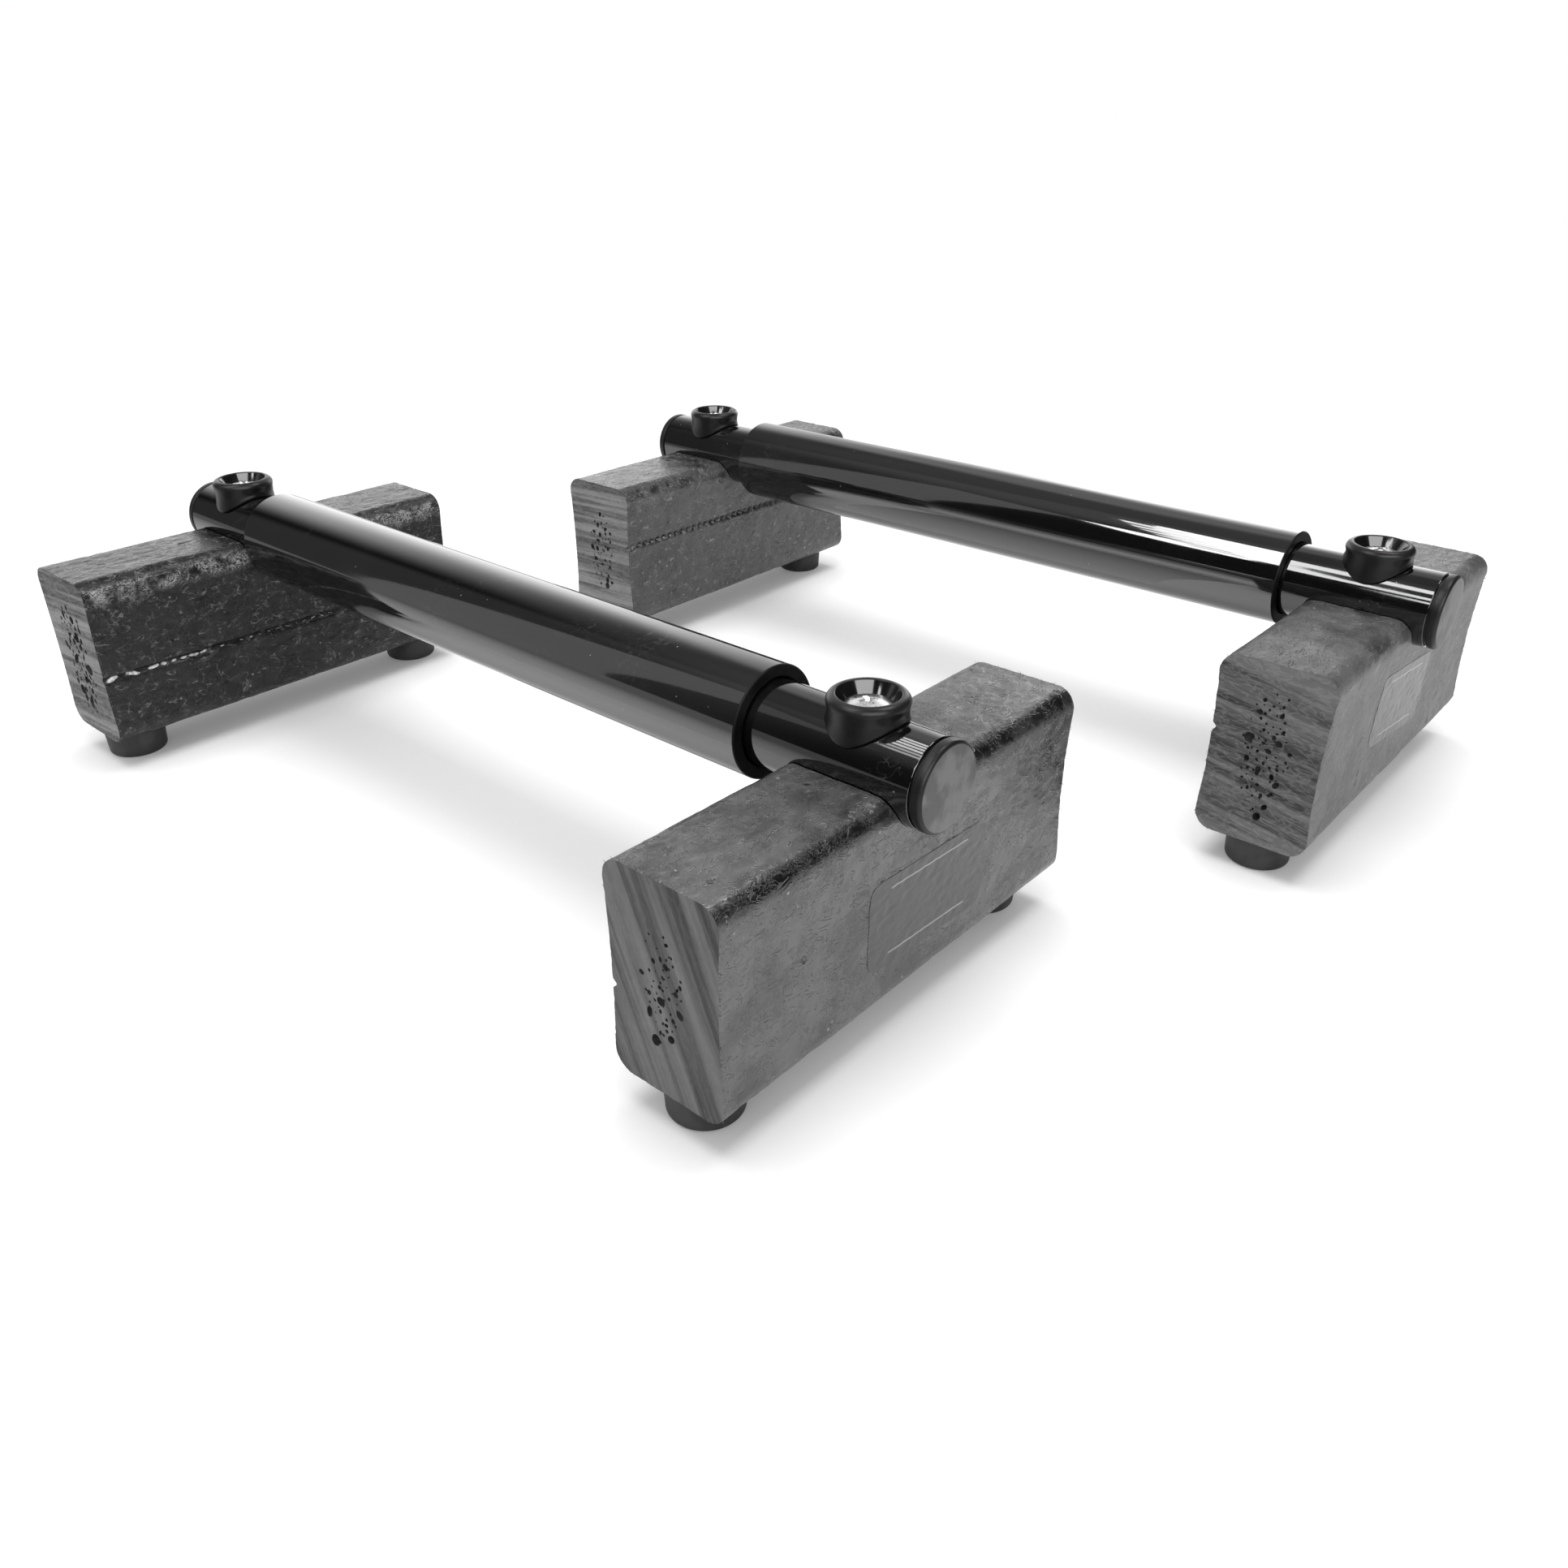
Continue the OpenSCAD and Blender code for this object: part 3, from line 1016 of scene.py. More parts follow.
@cache
def saw_burr() -> Grower:
    """Fine whiskers of torn plastic that stand off a sawn edge.

    Returns:
        The tree, which is made once.
    """
    tree = Grower("saw_burr")
    centre, = tree.parameters("Vector", "Centre")
    spacing, length = tree.parameters("Float", "Spacing", "Whisker Length")
    seed, = tree.parameters("Int", "Seed")
    edge = tree.step("GeometryNodeMeshToCurve", {"Mesh": tree.out(tree.given, "Geometry")})
    cone = {"Vertices": 4, "Side Segments": 2, "Radius Top": 0.02, "Radius Bottom": 0.11, "Depth": 1.0}
    whisker = tree.step("GeometryNodeMeshCone", cone)
    outward = tree.vector_math("SUBTRACT", tree.position(), centre)
    outward = tree.vector_math("NORMALIZE", tree.vector_math("MULTIPLY", outward, (1.0, 0.0, 1.0)))
    outward = tree.vector_math("ADD", outward, tree.random((-0.9, -0.12, -0.9), (0.9, 0.12, 0.9), seed))
    aim = tree.step("FunctionNodeAlignRotationToVector", {"Vector": outward}, axis="Z")
    size = length * tree.random(0.25, 1.0, seed + 2.0) * tree.random(0.4, 1.0, seed + 3.0)
    stood = tree.planted(tree.spaced(edge, spacing), whisker, aim, size, tree.chance(0.5, seed + 1.0))
    return tree.end(stood, smooth=False)


@cache
def foam_bubbles() -> Grower:
    """Separate egg-shaped bubbles scattered over an oval of a sawn end.

    Returns:
        The tree, which is made once.
    """
    tree = Grower("foam_bubbles")
    centre, = tree.parameters("Vector", "Centre")
    names = ("Half Width", "Half Height", "Apart", "Radius")
    half_width, half_height, apart, radius = tree.parameters("Float", *names)
    seed, = tree.parameters("Int", "Seed")
    grid = {"Size X": half_width * 2.0, "Size Y": half_height * 2.0, "Vertices X": 18, "Vertices Y": 36}
    upright = tree.laid(tree.step("GeometryNodeMeshGrid", grid), centre, (math.pi / 2, 0.0, 0.0))
    across, _, up = tree.axes(tree.vector_math("SUBTRACT", tree.position(), centre))
    out_from_core = (across / half_width) ** 2.0 + (up / half_height) ** 2.0
    scatter = {
        "Mesh": upright,
        "Distance Min": apart,
        "Density Max": 1.0 / (apart * apart) * 2.0,
        "Density Factor": out_from_core.ramp(1.0, 0.25),
        "Seed": seed,
    }
    points = tree.step("GeometryNodeDistributePointsOnFaces", scatter, distribute_method="POISSON")
    bubble = tree.step("GeometryNodeMeshUVSphere", {"Segments": 14, "Rings": 9, "Radius": 1.0})
    squash = tree.random((0.7, 1.2, 0.8), (1.15, 2.2, 1.4), seed + 1.0)
    swell = 0.35 + tree.random(0.0, 0.8, seed + 2.0) * tree.random(0.3, 1.0, seed + 3.0)
    size = tree.step("ShaderNodeVectorMath", {0: squash, "Scale": radius * swell}, operation="SCALE")
    lean = tree.rotation(tree.random((-0.3, -0.6, -0.3), (0.3, 0.6, 0.3), seed + 4.0))
    return tree.end(tree.planted(points, bubble, lean, size))


def settle(piece: bpy.types.Object, body: str, slot: str, *nodes: str) -> None:
    """Puts a finished piece on its body and hides the frame's nodes that it replaces.

    Args:
        piece: The piece.
        body: The body that it rides on.
        slot: A material slot's name, or an empty string for none. It is not used.
        nodes: The frame's nodes that the piece replaces.
    """
    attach(piece, body)
    if nodes:
        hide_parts(*nodes)
    LOG.info("%s: %d faces on %s", piece.name, len(piece.data.polygons), body)


@dataclass(frozen=True)
class LumberLook:
    """How one block's piece of lumber looks. Its skin and sawn shades are set block by block, so they are
    partly the lumber's own variation and partly painted light and shade.
    """

    skin: LumberSkin
    sawn: SawnFace
    seed: int
    # Grey of the flash lumps; the front left block's pale lumps are partly painted highlight.
    flash_shade: float = 0.1
    lump_length: float = 5.2 * MM
    ladder: float = 0.0
    fade_length: float = 62 * MM
    flash_spacing: float = 3.9 * MM
    pore_zone: tuple[float, float] = (8.5 * MM, 21 * MM)
    pore_scale: float = 1.0


# The four looks' differing shades are partly painted light and shade of each block.
LUMBER_LOOKS = {
    (Stand.FRONT, Side.LEFT): LumberLook(
        LumberSkin("lumber_skin_front_left", 0.006, 0.22, ior=1.4, relief=1.3 * MM, edge_light=1.0),
        SawnFace("sawn_face_front_left", 0.10, 4.0, 420.0, 1.0),
        # pale flash lumps, partly painted highlight
        seed=3, flash_shade=0.45, pore_zone=(10.5 * MM, 27 * MM), pore_scale=1.35,
    ),
    (Stand.FRONT, Side.RIGHT): LumberLook(
        LumberSkin(
            "lumber_skin_front_right", 0.035, 0.08, ior=1.8, relief=0.8 * MM, mottle=0.7, edge_dark=0.9
        ),
        SawnFace("sawn_face_front_right", 0.06, -68.0, 200.0, 0.95, fuzz=0.1),
        seed=11, pore_zone=(7.5 * MM, 20 * MM),
    ),
    (Stand.REAR, Side.LEFT): LumberLook(
        LumberSkin("lumber_skin_rear_left", 0.02, 0.34, ior=1.68, relief=1.6 * MM, edge_light=0.3),
        SawnFace("sawn_face_rear_left", 0.14, 2.0, 420.0, 0.7),
        seed=23, flash_shade=0.16, lump_length=2.2 * MM, ladder=0.9,
    ),
    (Stand.REAR, Side.RIGHT): LumberLook(
        LumberSkin("lumber_skin_rear_right", 0.045, 0.16, roughness=0.36, ior=1.8, mottle=0.6),
        SawnFace("sawn_face_rear_right", 0.06, -9.0, 300.0, 1.0),
        seed=31, pore_zone=(9.5 * MM, 25 * MM),
    ),
}


@dataclass
class LumberBlock:
    """A sawn block of moulded plastic lumber, notched for the tube."""

    stand: Stand
    side: Side
    seam_up: float
    tube_centre: Vector
    edge_r: float = 6.35 * MM
    sink: float = 1.0 * MM
    seam_half: float = 1.5 * MM
    seam_depth: float = 1.4 * MM
    notch_r: float = 13.1 * MM
    notch_lift: float = 0.4 * MM
    pitch: float = 0.75 * MM
    seam_pitch: float = 0.5625 * MM
    wave: float = 0.35 * MM
    wrinkle: float = 0.28 * MM
    whisker_l: float = 1.3 * MM
    whisker_spacing: float = 0.8 * MM
    whisker_setback: float = 0.45 * MM
    flash_w: float = 2.1 * MM
    flash_drop: float = 0.3 * MM
    flash_setback: float = 3 * MM

    def __post_init__(self) -> None:
        """Reads the block's box and its look."""
        self.node = self.stand.node(self.side.word, "block")
        self.low, self.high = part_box(self.node)
        self.middle = (self.low + self.high) / 2
        self.size = self.high - self.low
        self.inward = -self.side.value
        self.look = LUMBER_LOOKS[(self.stand, self.side)]
        self.finishes = [self.look.skin, self.look.sawn, PAINTED_PORE_SHADE, NOTCH_WALL]

    def face_sink(self, up: float) -> float:
        """How far the moulded sides are sunk at a height.

        Args:
            up: Height above the lumber's lower edge.

        Returns:
            The depth.
        """
        flat = self.size.z / 2 - self.edge_r
        away = min(1.0, abs(up - self.size.z / 2) / flat)
        return self.sink * (1.0 - away * away)

    def seam_dent(self, up: float, along: float) -> float:
        """Depth of the seam's groove, which wanders and varies along the block.

        Args:
            up: Height above the lumber's lower edge.
            along: Offset along Y from the block's middle.

        Returns:
            The depth.
        """
        wander = noise.noise(Vector((along / (9 * MM), self.look.seed, 0))) * 0.3 * MM
        deep = 1.0 + 0.35 * noise.noise(Vector((along / (4 * MM), self.look.seed, 7)))
        deep += self.look.ladder * math.sin(math.tau * along / self.look.flash_spacing)
        away = abs(up - self.seam_up - wander) / self.seam_half
        return self.seam_depth * deep * max(0.0, 1.0 - away)

    def skin_dent(self, at: Vector) -> float:
        """Depth of the skin's waves and wrinkles at a place.

        Args:
            at: The place.

        Returns:
            The depth.
        """
        shift = Vector((self.look.seed * 1.7, 0, 0))
        broad = noise.noise(at * 42.0 + shift)
        fine = noise.fractal(Vector((at.x * 260, at.y * 150, at.z * 260)) + shift, 0.8, 2.2, 3)
        return self.wave * (0.5 + 0.5 * broad) + self.wrinkle * min(1.0, abs(fine))

    def section(self) -> list[tuple[float, float, float, float]]:
        """The block's cross-section without its dents, finer where it has the seam.

        Returns:
            Points round the section: inward offset, height, and the outward normal's two parts.
        """
        half, top, r = self.size.x / 2, self.size.z, self.edge_r
        points = []
        corners = [(1, 0, -90), (1, 1, 0), (-1, 1, 90), (-1, 0, 180)]
        steps = round(math.pi / 2 * r / self.pitch)
        for across, upper, start in corners:
            centre_x, centre_z = across * (half - r), (top - r if upper else r)
            for i in range(steps):
                angle = math.radians(start + 90 * i / steps)
                n = (math.cos(angle), math.sin(angle))
                points.append((centre_x + r * n[0], centre_z + r * n[1], *n))
            angle = math.radians(start + 90)
            n = (math.cos(angle), math.sin(angle))
            begin = Vector((centre_x + r * n[0], centre_z + r * n[1]))
            vertical = abs(n[0]) > 0.5
            run = (top - 2 * r) if vertical else 2 * (half - r)
            count = round(run / (self.seam_pitch if vertical and across == 1 else self.pitch))
            way = Vector((-n[1], n[0]))
            for i in range(count):
                at = begin + way * run * i / count
                points.append((at.x, at.y, *n))
        return points

    def surface(self, inward: float, up: float, along: float, normal: tuple[float, float]) -> Vector:
        """The dented surface's place for a point of the section.

        Args:
            inward: Offset from the block's middle towards the bar's middle.
            up: Height above the lumber's lower edge.
            along: Offset along Y from the block's middle.
            normal: The section's outward normal.

        Returns:
            The place in the frame.
        """
        flat_side = abs(normal[0]) > 0.999
        at = Vector((self.middle.x + self.inward * inward, self.middle.y + along, self.low.z + up))
        dent = self.skin_dent(at)
        if flat_side:
            dent += self.face_sink(up)
        if flat_side and normal[0] > 0:
            dent += self.seam_dent(up, along)
        return at - Vector((self.inward * normal[0] * dent, 0, normal[1] * dent))

    def build(self) -> None:
        """Builds the block with its flash and its burrs."""
        section = self.section()
        rows, columns = round(self.size.y / self.pitch) + 1, len(section)
        stations = np.linspace(-self.size.y / 2, self.size.y / 2, rows)
        points = [
            self.surface(x, z, float(y), (nx, nz)) for y in stations for x, z, nx, nz in section
        ]
        faces = grid_faces(rows, columns, False, True)
        faces += [list(range(columns)), list(range((rows - 1) * columns, rows * columns))]
        mesh = make_mesh(self.node + "_lumber", points, faces)
        block = add_object(mesh.name, mesh, self.finishes)
        for face in mesh.polygons:
            if abs(face.normal.y) > 0.9:
                face.material_index = self.finishes.index(self.look.sawn)
        self.bore_pores(block)
        cut_away(block, self.notch_cutter())
        crisp_edges(block)
        settle(block, self.stand.still_body, "recycled_lumber", self.node)
        for end, rim in zip(End, (points[:columns], points[-columns:])):
            self.add_burr(end, rim)
        self.add_flash()

    def cutter_in(self, finish: Finish, cutter: bpy.types.Object) -> bpy.types.Object:
        """Makes a cutter leave one of the block's finishes where it cuts.

        Args:
            finish: The finish.
            cutter: The cutter.

        Returns:
            The cutter.
        """
        mesh = cutter.data
        mesh.materials.clear()
        for each in self.finishes:
            mesh.materials.append(each.material())
        mesh.polygons.foreach_set("material_index", [self.finishes.index(finish)] * len(mesh.polygons))
        return cutter

    def notch_cutter(self) -> bpy.types.Object:
        """A long roller that cuts the tube's notch.

        Returns:
            The cutter.
        """
        spare = 2 * MM
        half = self.size.x / 2 + spare
        outline = Outline().to(0, -half).to(self.notch_r, -half).to(self.notch_r, half).to(0, half)
        mesh = turned_mesh("notch_cutter", outline, False, 160)
        centre = Vector((self.middle.x, self.tube_centre.y, self.tube_centre.z + self.notch_lift))
        mesh.transform(Matrix.Translation(centre) @ Matrix.Rotation(math.pi / 2, 4, "Y"))
        return self.cutter_in(NOTCH_WALL, add_object("notch_cutter", mesh))

    def bore_pores(self, block: bpy.types.Object) -> None:
        """Opens the foamed core's bubbles in both sawn ends.

        Args:
            block: The block's object.
        """
        half_width, half_height = self.look.pore_zone
        kinds = [(6.2 * MM, 1.7 * MM), (3.0 * MM, 1.1 * MM), (1.9 * MM, 0.6 * MM)]
        for end in End:
            face_y = self.low.y if end is End.NEAR else self.high.y
            for i, (apart, radius) in enumerate(kinds):
                sizes = {
                    "Centre": Vector((self.middle.x, face_y, self.middle.z)),
                    "Half Width": half_width,
                    "Half Height": half_height,
                    "Apart": apart,
                    "Radius": radius * self.look.pore_scale,
                    "Seed": self.look.seed * 10 + i * 3 + end.value,
                }
                bubbles = foam_bubbles().grow("bubbles", sizes, PAINTED_PORE_SHADE)
                cut_away(block, self.cutter_in(PAINTED_PORE_SHADE, bubbles))

    def add_burr(self, end: End, rim: list[Vector]) -> None:
        """Grows whiskers round a sawn edge.

        Args:
            end: Which end it is.
            rim: The sawn outline.
        """
        burr = RoughPlastic(f"burr_{self.node}", 1.4 * self.look.sawn.shade, roughness=0.5)
        setback = Vector((0, -end.value * self.whisker_setback, 0))
        mesh = bpy.data.meshes.new("rim")
        edges = [(i, (i + 1) % len(rim)) for i in range(len(rim))]
        mesh.from_pydata([tuple(p + setback) for p in rim], edges, [])
        sizes = {
            "Centre": self.middle,
            "Spacing": self.whisker_spacing,
            "Whisker Length": self.whisker_l,
            "Seed": self.look.seed + end.value,
        }
        piece = saw_burr().grow(f"{self.node}_{end.word}_burr", sizes, burr, mesh)
        settle(piece, self.stand.still_body, "recycled_lumber")

    def add_flash(self) -> None:
        """Strings lumps of flash along the seam."""
        depth = self.face_sink(self.seam_up) + 0.8 * self.seam_depth
        x = self.middle.x + self.inward * (self.size.x / 2 - depth)
        z = self.low.z + self.seam_up - self.flash_drop
        sizes = {
            "Start": Vector((x, self.low.y + self.flash_setback, z)),
            "Stop": Vector((x, self.high.y - self.flash_setback, z)),
            "Spacing": self.look.flash_spacing,
            "Lump Length": self.look.lump_length,
            "Lump Width": self.flash_w,
            "Fade Length": self.look.fade_length,
            "Seed": self.look.seed,
        }
        finish = RoughPlastic(f"flash_{self.node}", self.look.flash_shade, roughness=0.25)
        piece = seam_flash().grow(f"{self.node}_seam_flash", sizes, finish)
        settle(piece, self.stand.still_body, "recycled_lumber")


@dataclass
class Label:
    """A blank film label on the outer face of a block."""

    block: LumberBlock
    middle_along: float = 6 * MM
    middle_up: float = 26.5 * MM
    length: float = 53 * MM
    height: float = 27 * MM
    tilt: float = -2.2
    corner_r: float = 4 * MM
    lift: float = 0.1 * MM
    columns: int = 96
    rows: int = 48

    def spread(self, u: float, v: float) -> tuple[float, float]:
        """Maps the unit square onto the label's rounded outline.

        Args:
            u: Place along the label, from 0 to 1.
            v: Place up the label, from 0 to 1.

        Returns:
            Offsets along and up from the label's middle.
        """
        half_l, half_h, r = self.length / 2, self.height / 2, self.corner_r
        along, up = (2 * u - 1) * half_l, (2 * v - 1) * half_h
        into_corner = max(0.0, abs(up) - (half_h - r))
        reach = half_l - r + math.sqrt(max(0.0, r * r - into_corner * into_corner))
        return along * reach / half_l, up

    def build(self) -> None:
        """Builds the film over the block's dented face, with its own UV map."""
        block = self.block
        turn = Matrix.Rotation(math.radians(self.tilt), 2)
        outer = (-1.0, 0.0)
        front, uvs = [], []
        for j in range(self.rows + 1):
            for i in range(self.columns + 1):
                u, v = i / self.columns, j / self.rows
                along, up = turn @ Vector(self.spread(u, v))
                at = block.surface(
                    -block.size.x / 2, self.middle_up + up, self.middle_along + along, outer
                )
                front.append(at + Vector((-block.inward * self.lift, 0, 0)))
                uvs.append((u, v))
        back = [p + Vector((block.inward * 1.6 * self.lift, 0, 0)) for p in front]
        count = len(front)
        faces = grid_faces(self.rows + 1, self.columns + 1, False, False)
        rim = self.rim()
        under = [[i + count for i in reversed(face)] for face in faces]
        walls = [[a, b, b + count, a + count] for a, b in zip(rim, rim[1:] + rim[:1])]
        mesh = make_mesh(f"{block.node}_label", front + back, faces + under + walls)
        layer = mesh.uv_layers.new(name="film")
        for loop in mesh.loops:
            layer.data[loop.index].uv = uvs[loop.vertex_index % count]
        label = add_object(mesh.name, mesh, [FILM])
        crisp_edges(label)
        settle(label, block.stand.still_body, "")

    def rim(self) -> list[int]:
        """Vertex numbers round the label's edge.

        Returns:
            The numbers in order.
        """
        wide, last = self.columns + 1, self.rows * (self.columns + 1)
        bottom = list(range(wide))
        right = [wide * j + self.columns for j in range(1, self.rows)]
        top = list(range(last + self.columns, last - 1, -1))
        left = [wide * j for j in range(self.rows - 1, 0, -1)]
        return bottom + right + top + left


@dataclass
class BarTube:
    """The steel tube that is screwed down into the two blocks."""

    stand: Stand
    wall: float = 2.1 * MM
    edge_r: float = 0.3 * MM

    def __post_init__(self) -> None:
        """Reads the tube's box."""
        self.node = self.stand.node("tube")
        self.low, self.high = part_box(self.node)
        self.centre = (self.low + self.high) / 2
        self.radius = (self.high.z - self.low.z) / 2
        self.length = self.high.x - self.low.x

    def build(self) -> None:
        """Sweeps the tube from pipe stock."""
        sizes = {
            "Outer Radius": self.radius,
            "Wall": self.wall,
            "Length": self.length,
            "Edge Radius": self.edge_r,
            "Middle": self.centre,
        }
        piece = pipe_stock().grow(f"{self.node}_steel", sizes, POWDER_COAT)
        crisp_edges(piece, 6.0)
        settle(piece, self.stand.still_body, "powder_coated_tube", self.node)


@dataclass
class GripSleeve:
    """The thick plastic sleeve that spins on the tube."""

    stand: Stand
    wall: float = 3.7 * MM
    edge_r: float = 0.6 * MM

    def build(self) -> None:
        """Sweeps the sleeve from pipe stock."""
        node = self.stand.node("grip")
        low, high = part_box(node)
        sizes = {
            "Outer Radius": (high.z - low.z) / 2,
            "Wall": self.wall,
            "Length": high.x - low.x,
            "Edge Radius": self.edge_r,
            "Middle": (low + high) / 2,
        }
        piece = pipe_stock().grow(f"{node}_sleeve", sizes, POLISHED_PIPE)
        piece.data.materials.append(SLEEVE_END.material())
        for face in piece.data.polygons:
            face.material_index = int(abs(face.normal.x) > 0.05)
        crisp_edges(piece, 6.0)
        settle(piece, self.stand.spinning_body, "grip_plastic", node)


@dataclass
class EndCap:
    """A push-in cap: a crowned head, a shadow groove and a ribbed plug."""

    stand: Stand
    side: Side
    tube: BarTube
    head_t: float = 3.7 * MM
    crown: float = 0.5 * MM
    edge_r: float = 1.3 * MM
    neck_t: float = 0.8 * MM
    neck_inset: float = 0.9 * MM
    plug_l: float = 12 * MM
    ribs: int = 3
    back_r: float = 0.3 * MM
    plug_gap: float = 0.9 * MM
    rib_gap: float = 0.1 * MM
    root_gap: float = 1.6 * MM

    def build(self) -> None:
        """Turns the cap and lays it along the tube."""
        node = self.stand.node(self.side.word, "cap")
        r, neck_r = self.tube.radius, self.tube.radius - self.neck_inset
        bore_r = r - self.tube.wall
        top = self.neck_t + self.head_t
        flat_r = r - self.edge_r
        outline = Outline()
        for i in range(9):
            reach = flat_r * i / 8
            outline.to(reach, top - self.crown * (reach / flat_r) ** 2)
        outline.arc((flat_r, top - self.crown - self.edge_r), self.edge_r, 84, 0, 8)
        outline.arc((r - self.back_r, self.neck_t + self.back_r), self.back_r, 0, -90, 4)
        outline.to(neck_r, self.neck_t).to(neck_r, 0).to(bore_r - self.plug_gap, 0)
        pitch = self.plug_l / (self.ribs + 1)
        for i in range(1, self.ribs + 1):
            outline.to(bore_r - self.plug_gap, -i * pitch).to(bore_r - self.rib_gap, -i * pitch)
            outline.to(bore_r - self.root_gap, -(i + 0.6) * pitch)
        outline.to(bore_r - self.root_gap, -self.plug_l).to(0, -self.plug_l)
        mesh = turned_mesh(f"{node}_moulding", outline, False)
        face_r = flat_r + 0.35 * self.edge_r
        end = Vector((self.tube.centre.x + self.side.value * self.tube.length / 2, 0, 0))
        place = Matrix.Translation((end.x, self.tube.centre.y, self.tube.centre.z))
        cap = add_object(mesh.name, mesh, [CAP_RIM, CAP_PLASTIC])
        for face in mesh.polygons:
            if face.center.xy.length < face_r and face.center.z > top - self.crown - self.edge_r:
                face.material_index = 1
        mesh.transform(place @ Matrix.Rotation(self.side.value * math.pi / 2, 4, "Y"))
        crisp_edges(cap, 50.0)
        settle(cap, self.stand.still_body, "end_cap_plastic", node)


@dataclass
class SaddleCup:
    """The cup under a bar screw: a saddle on the tube below, a polished cone above."""

    stand: Stand
    side: Side
    tube: BarTube
    edge_r: float = 2.2 * MM
    lip_r: float = 0.5 * MM
    mouth_r: float = 8.5 * MM
    floor_r: float = 6.6 * MM
    depth: float = 4.0 * MM
    hole_r: float = 3.25 * MM
    waist: float = 0.4 * MM
    hem_r: float = 0.6 * MM
    seat_gap: float = 0.05 * MM
    segments: int = 144
    corner_run: float = 0.5 * MM
    corner_in: float = 0.3 * MM
    corner_r: float = 0.4 * MM

    def __post_init__(self) -> None:
        """Reads the cup's box."""
        self.node = self.stand.node(self.side.word, "cup")
        low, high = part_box(self.node)
        self.centre = (low + high) / 2
        self.radius = (high.x - low.x) / 2
        self.top = high.z - self.tube.centre.z
        self.floor = self.top - self.depth

    def saddle(self, reach: float, turn: float) -> float:
        """Height of the tube's surface under a point of the cup, above the tube's centre line.

        Args:
            reach: The point's distance from the cup's axis.
            turn: Its angle from the bar's direction, in radians.

        Returns:
            The height.
        """
        across = reach * math.sin(turn)
        ride_r = self.tube.radius + self.seat_gap
        return math.sqrt(ride_r * ride_r - across * across)

    def ring(self, turn: float) -> list[tuple[float, float]]:
        """The cup's section at one turn round its axis.

        Args:
            turn: The angle from the bar's direction, in radians.

        Returns:
            A closed loop of radius and height.
        """
        r, top = self.radius, self.top
        shape = Outline().to(self.hole_r, self.floor).to(self.floor_r - self.corner_run, self.floor)
        corner = (self.floor_r - self.corner_in, self.floor + self.corner_run)
        shape.arc(corner, self.corner_r, -80, -30, 4)
        lip = (self.mouth_r + self.lip_r, top - self.lip_r)
        shape.arc(lip, self.lip_r, 160, 90, 6)
        shape.arc((r - self.edge_r, top - self.edge_r), self.edge_r, 90, 0, 12)
        hem_z = self.saddle(r - self.hem_r, turn) + self.hem_r
        wall_top = top - self.edge_r
        for i in range(1, 9):
            share = i / 9
            shape.to(r - self.waist * math.sin(math.pi * share), wall_top + (hem_z - wall_top) * share)
        shape.arc((r - self.hem_r, hem_z), self.hem_r, 0, -82, 7)
        for i in range(8):
            reach = (r - self.hem_r) + (self.hole_r - r + self.hem_r) * i / 7
            shape.to(reach, self.saddle(reach, turn))
        return shape.points

    def build(self) -> None:
        """Builds the cup ring by ring, with its recess polished."""
        turns = [2 * math.pi * i / self.segments for i in range(self.segments)]
        rings = [self.ring(turn) for turn in turns]
        base = Vector((self.centre.x, self.centre.y, self.tube.centre.z))
        points = [
            base + Vector((r * math.cos(turn), r * math.sin(turn), z))
            for turn, ring in zip(turns, rings)
            for r, z in ring
        ]
        faces = grid_faces(len(turns), len(rings[0]), True, True)
        mesh = make_mesh(f"{self.node}_moulding", points, faces)
        cup = add_object(mesh.name, mesh, [CUP_PLASTIC, CUP_POLISH])
        floor_z = base.z + self.floor - 0.2 * MM
        for face in mesh.polygons:
            reach = (face.center - base).xy.length
            if self.hole_r + 0.1 * MM < reach < self.mouth_r and face.center.z > floor_z:
                face.material_index = 1
        crisp_edges(cup, 60.0)
        settle(cup, self.stand.still_body, "cup_plastic", self.node)


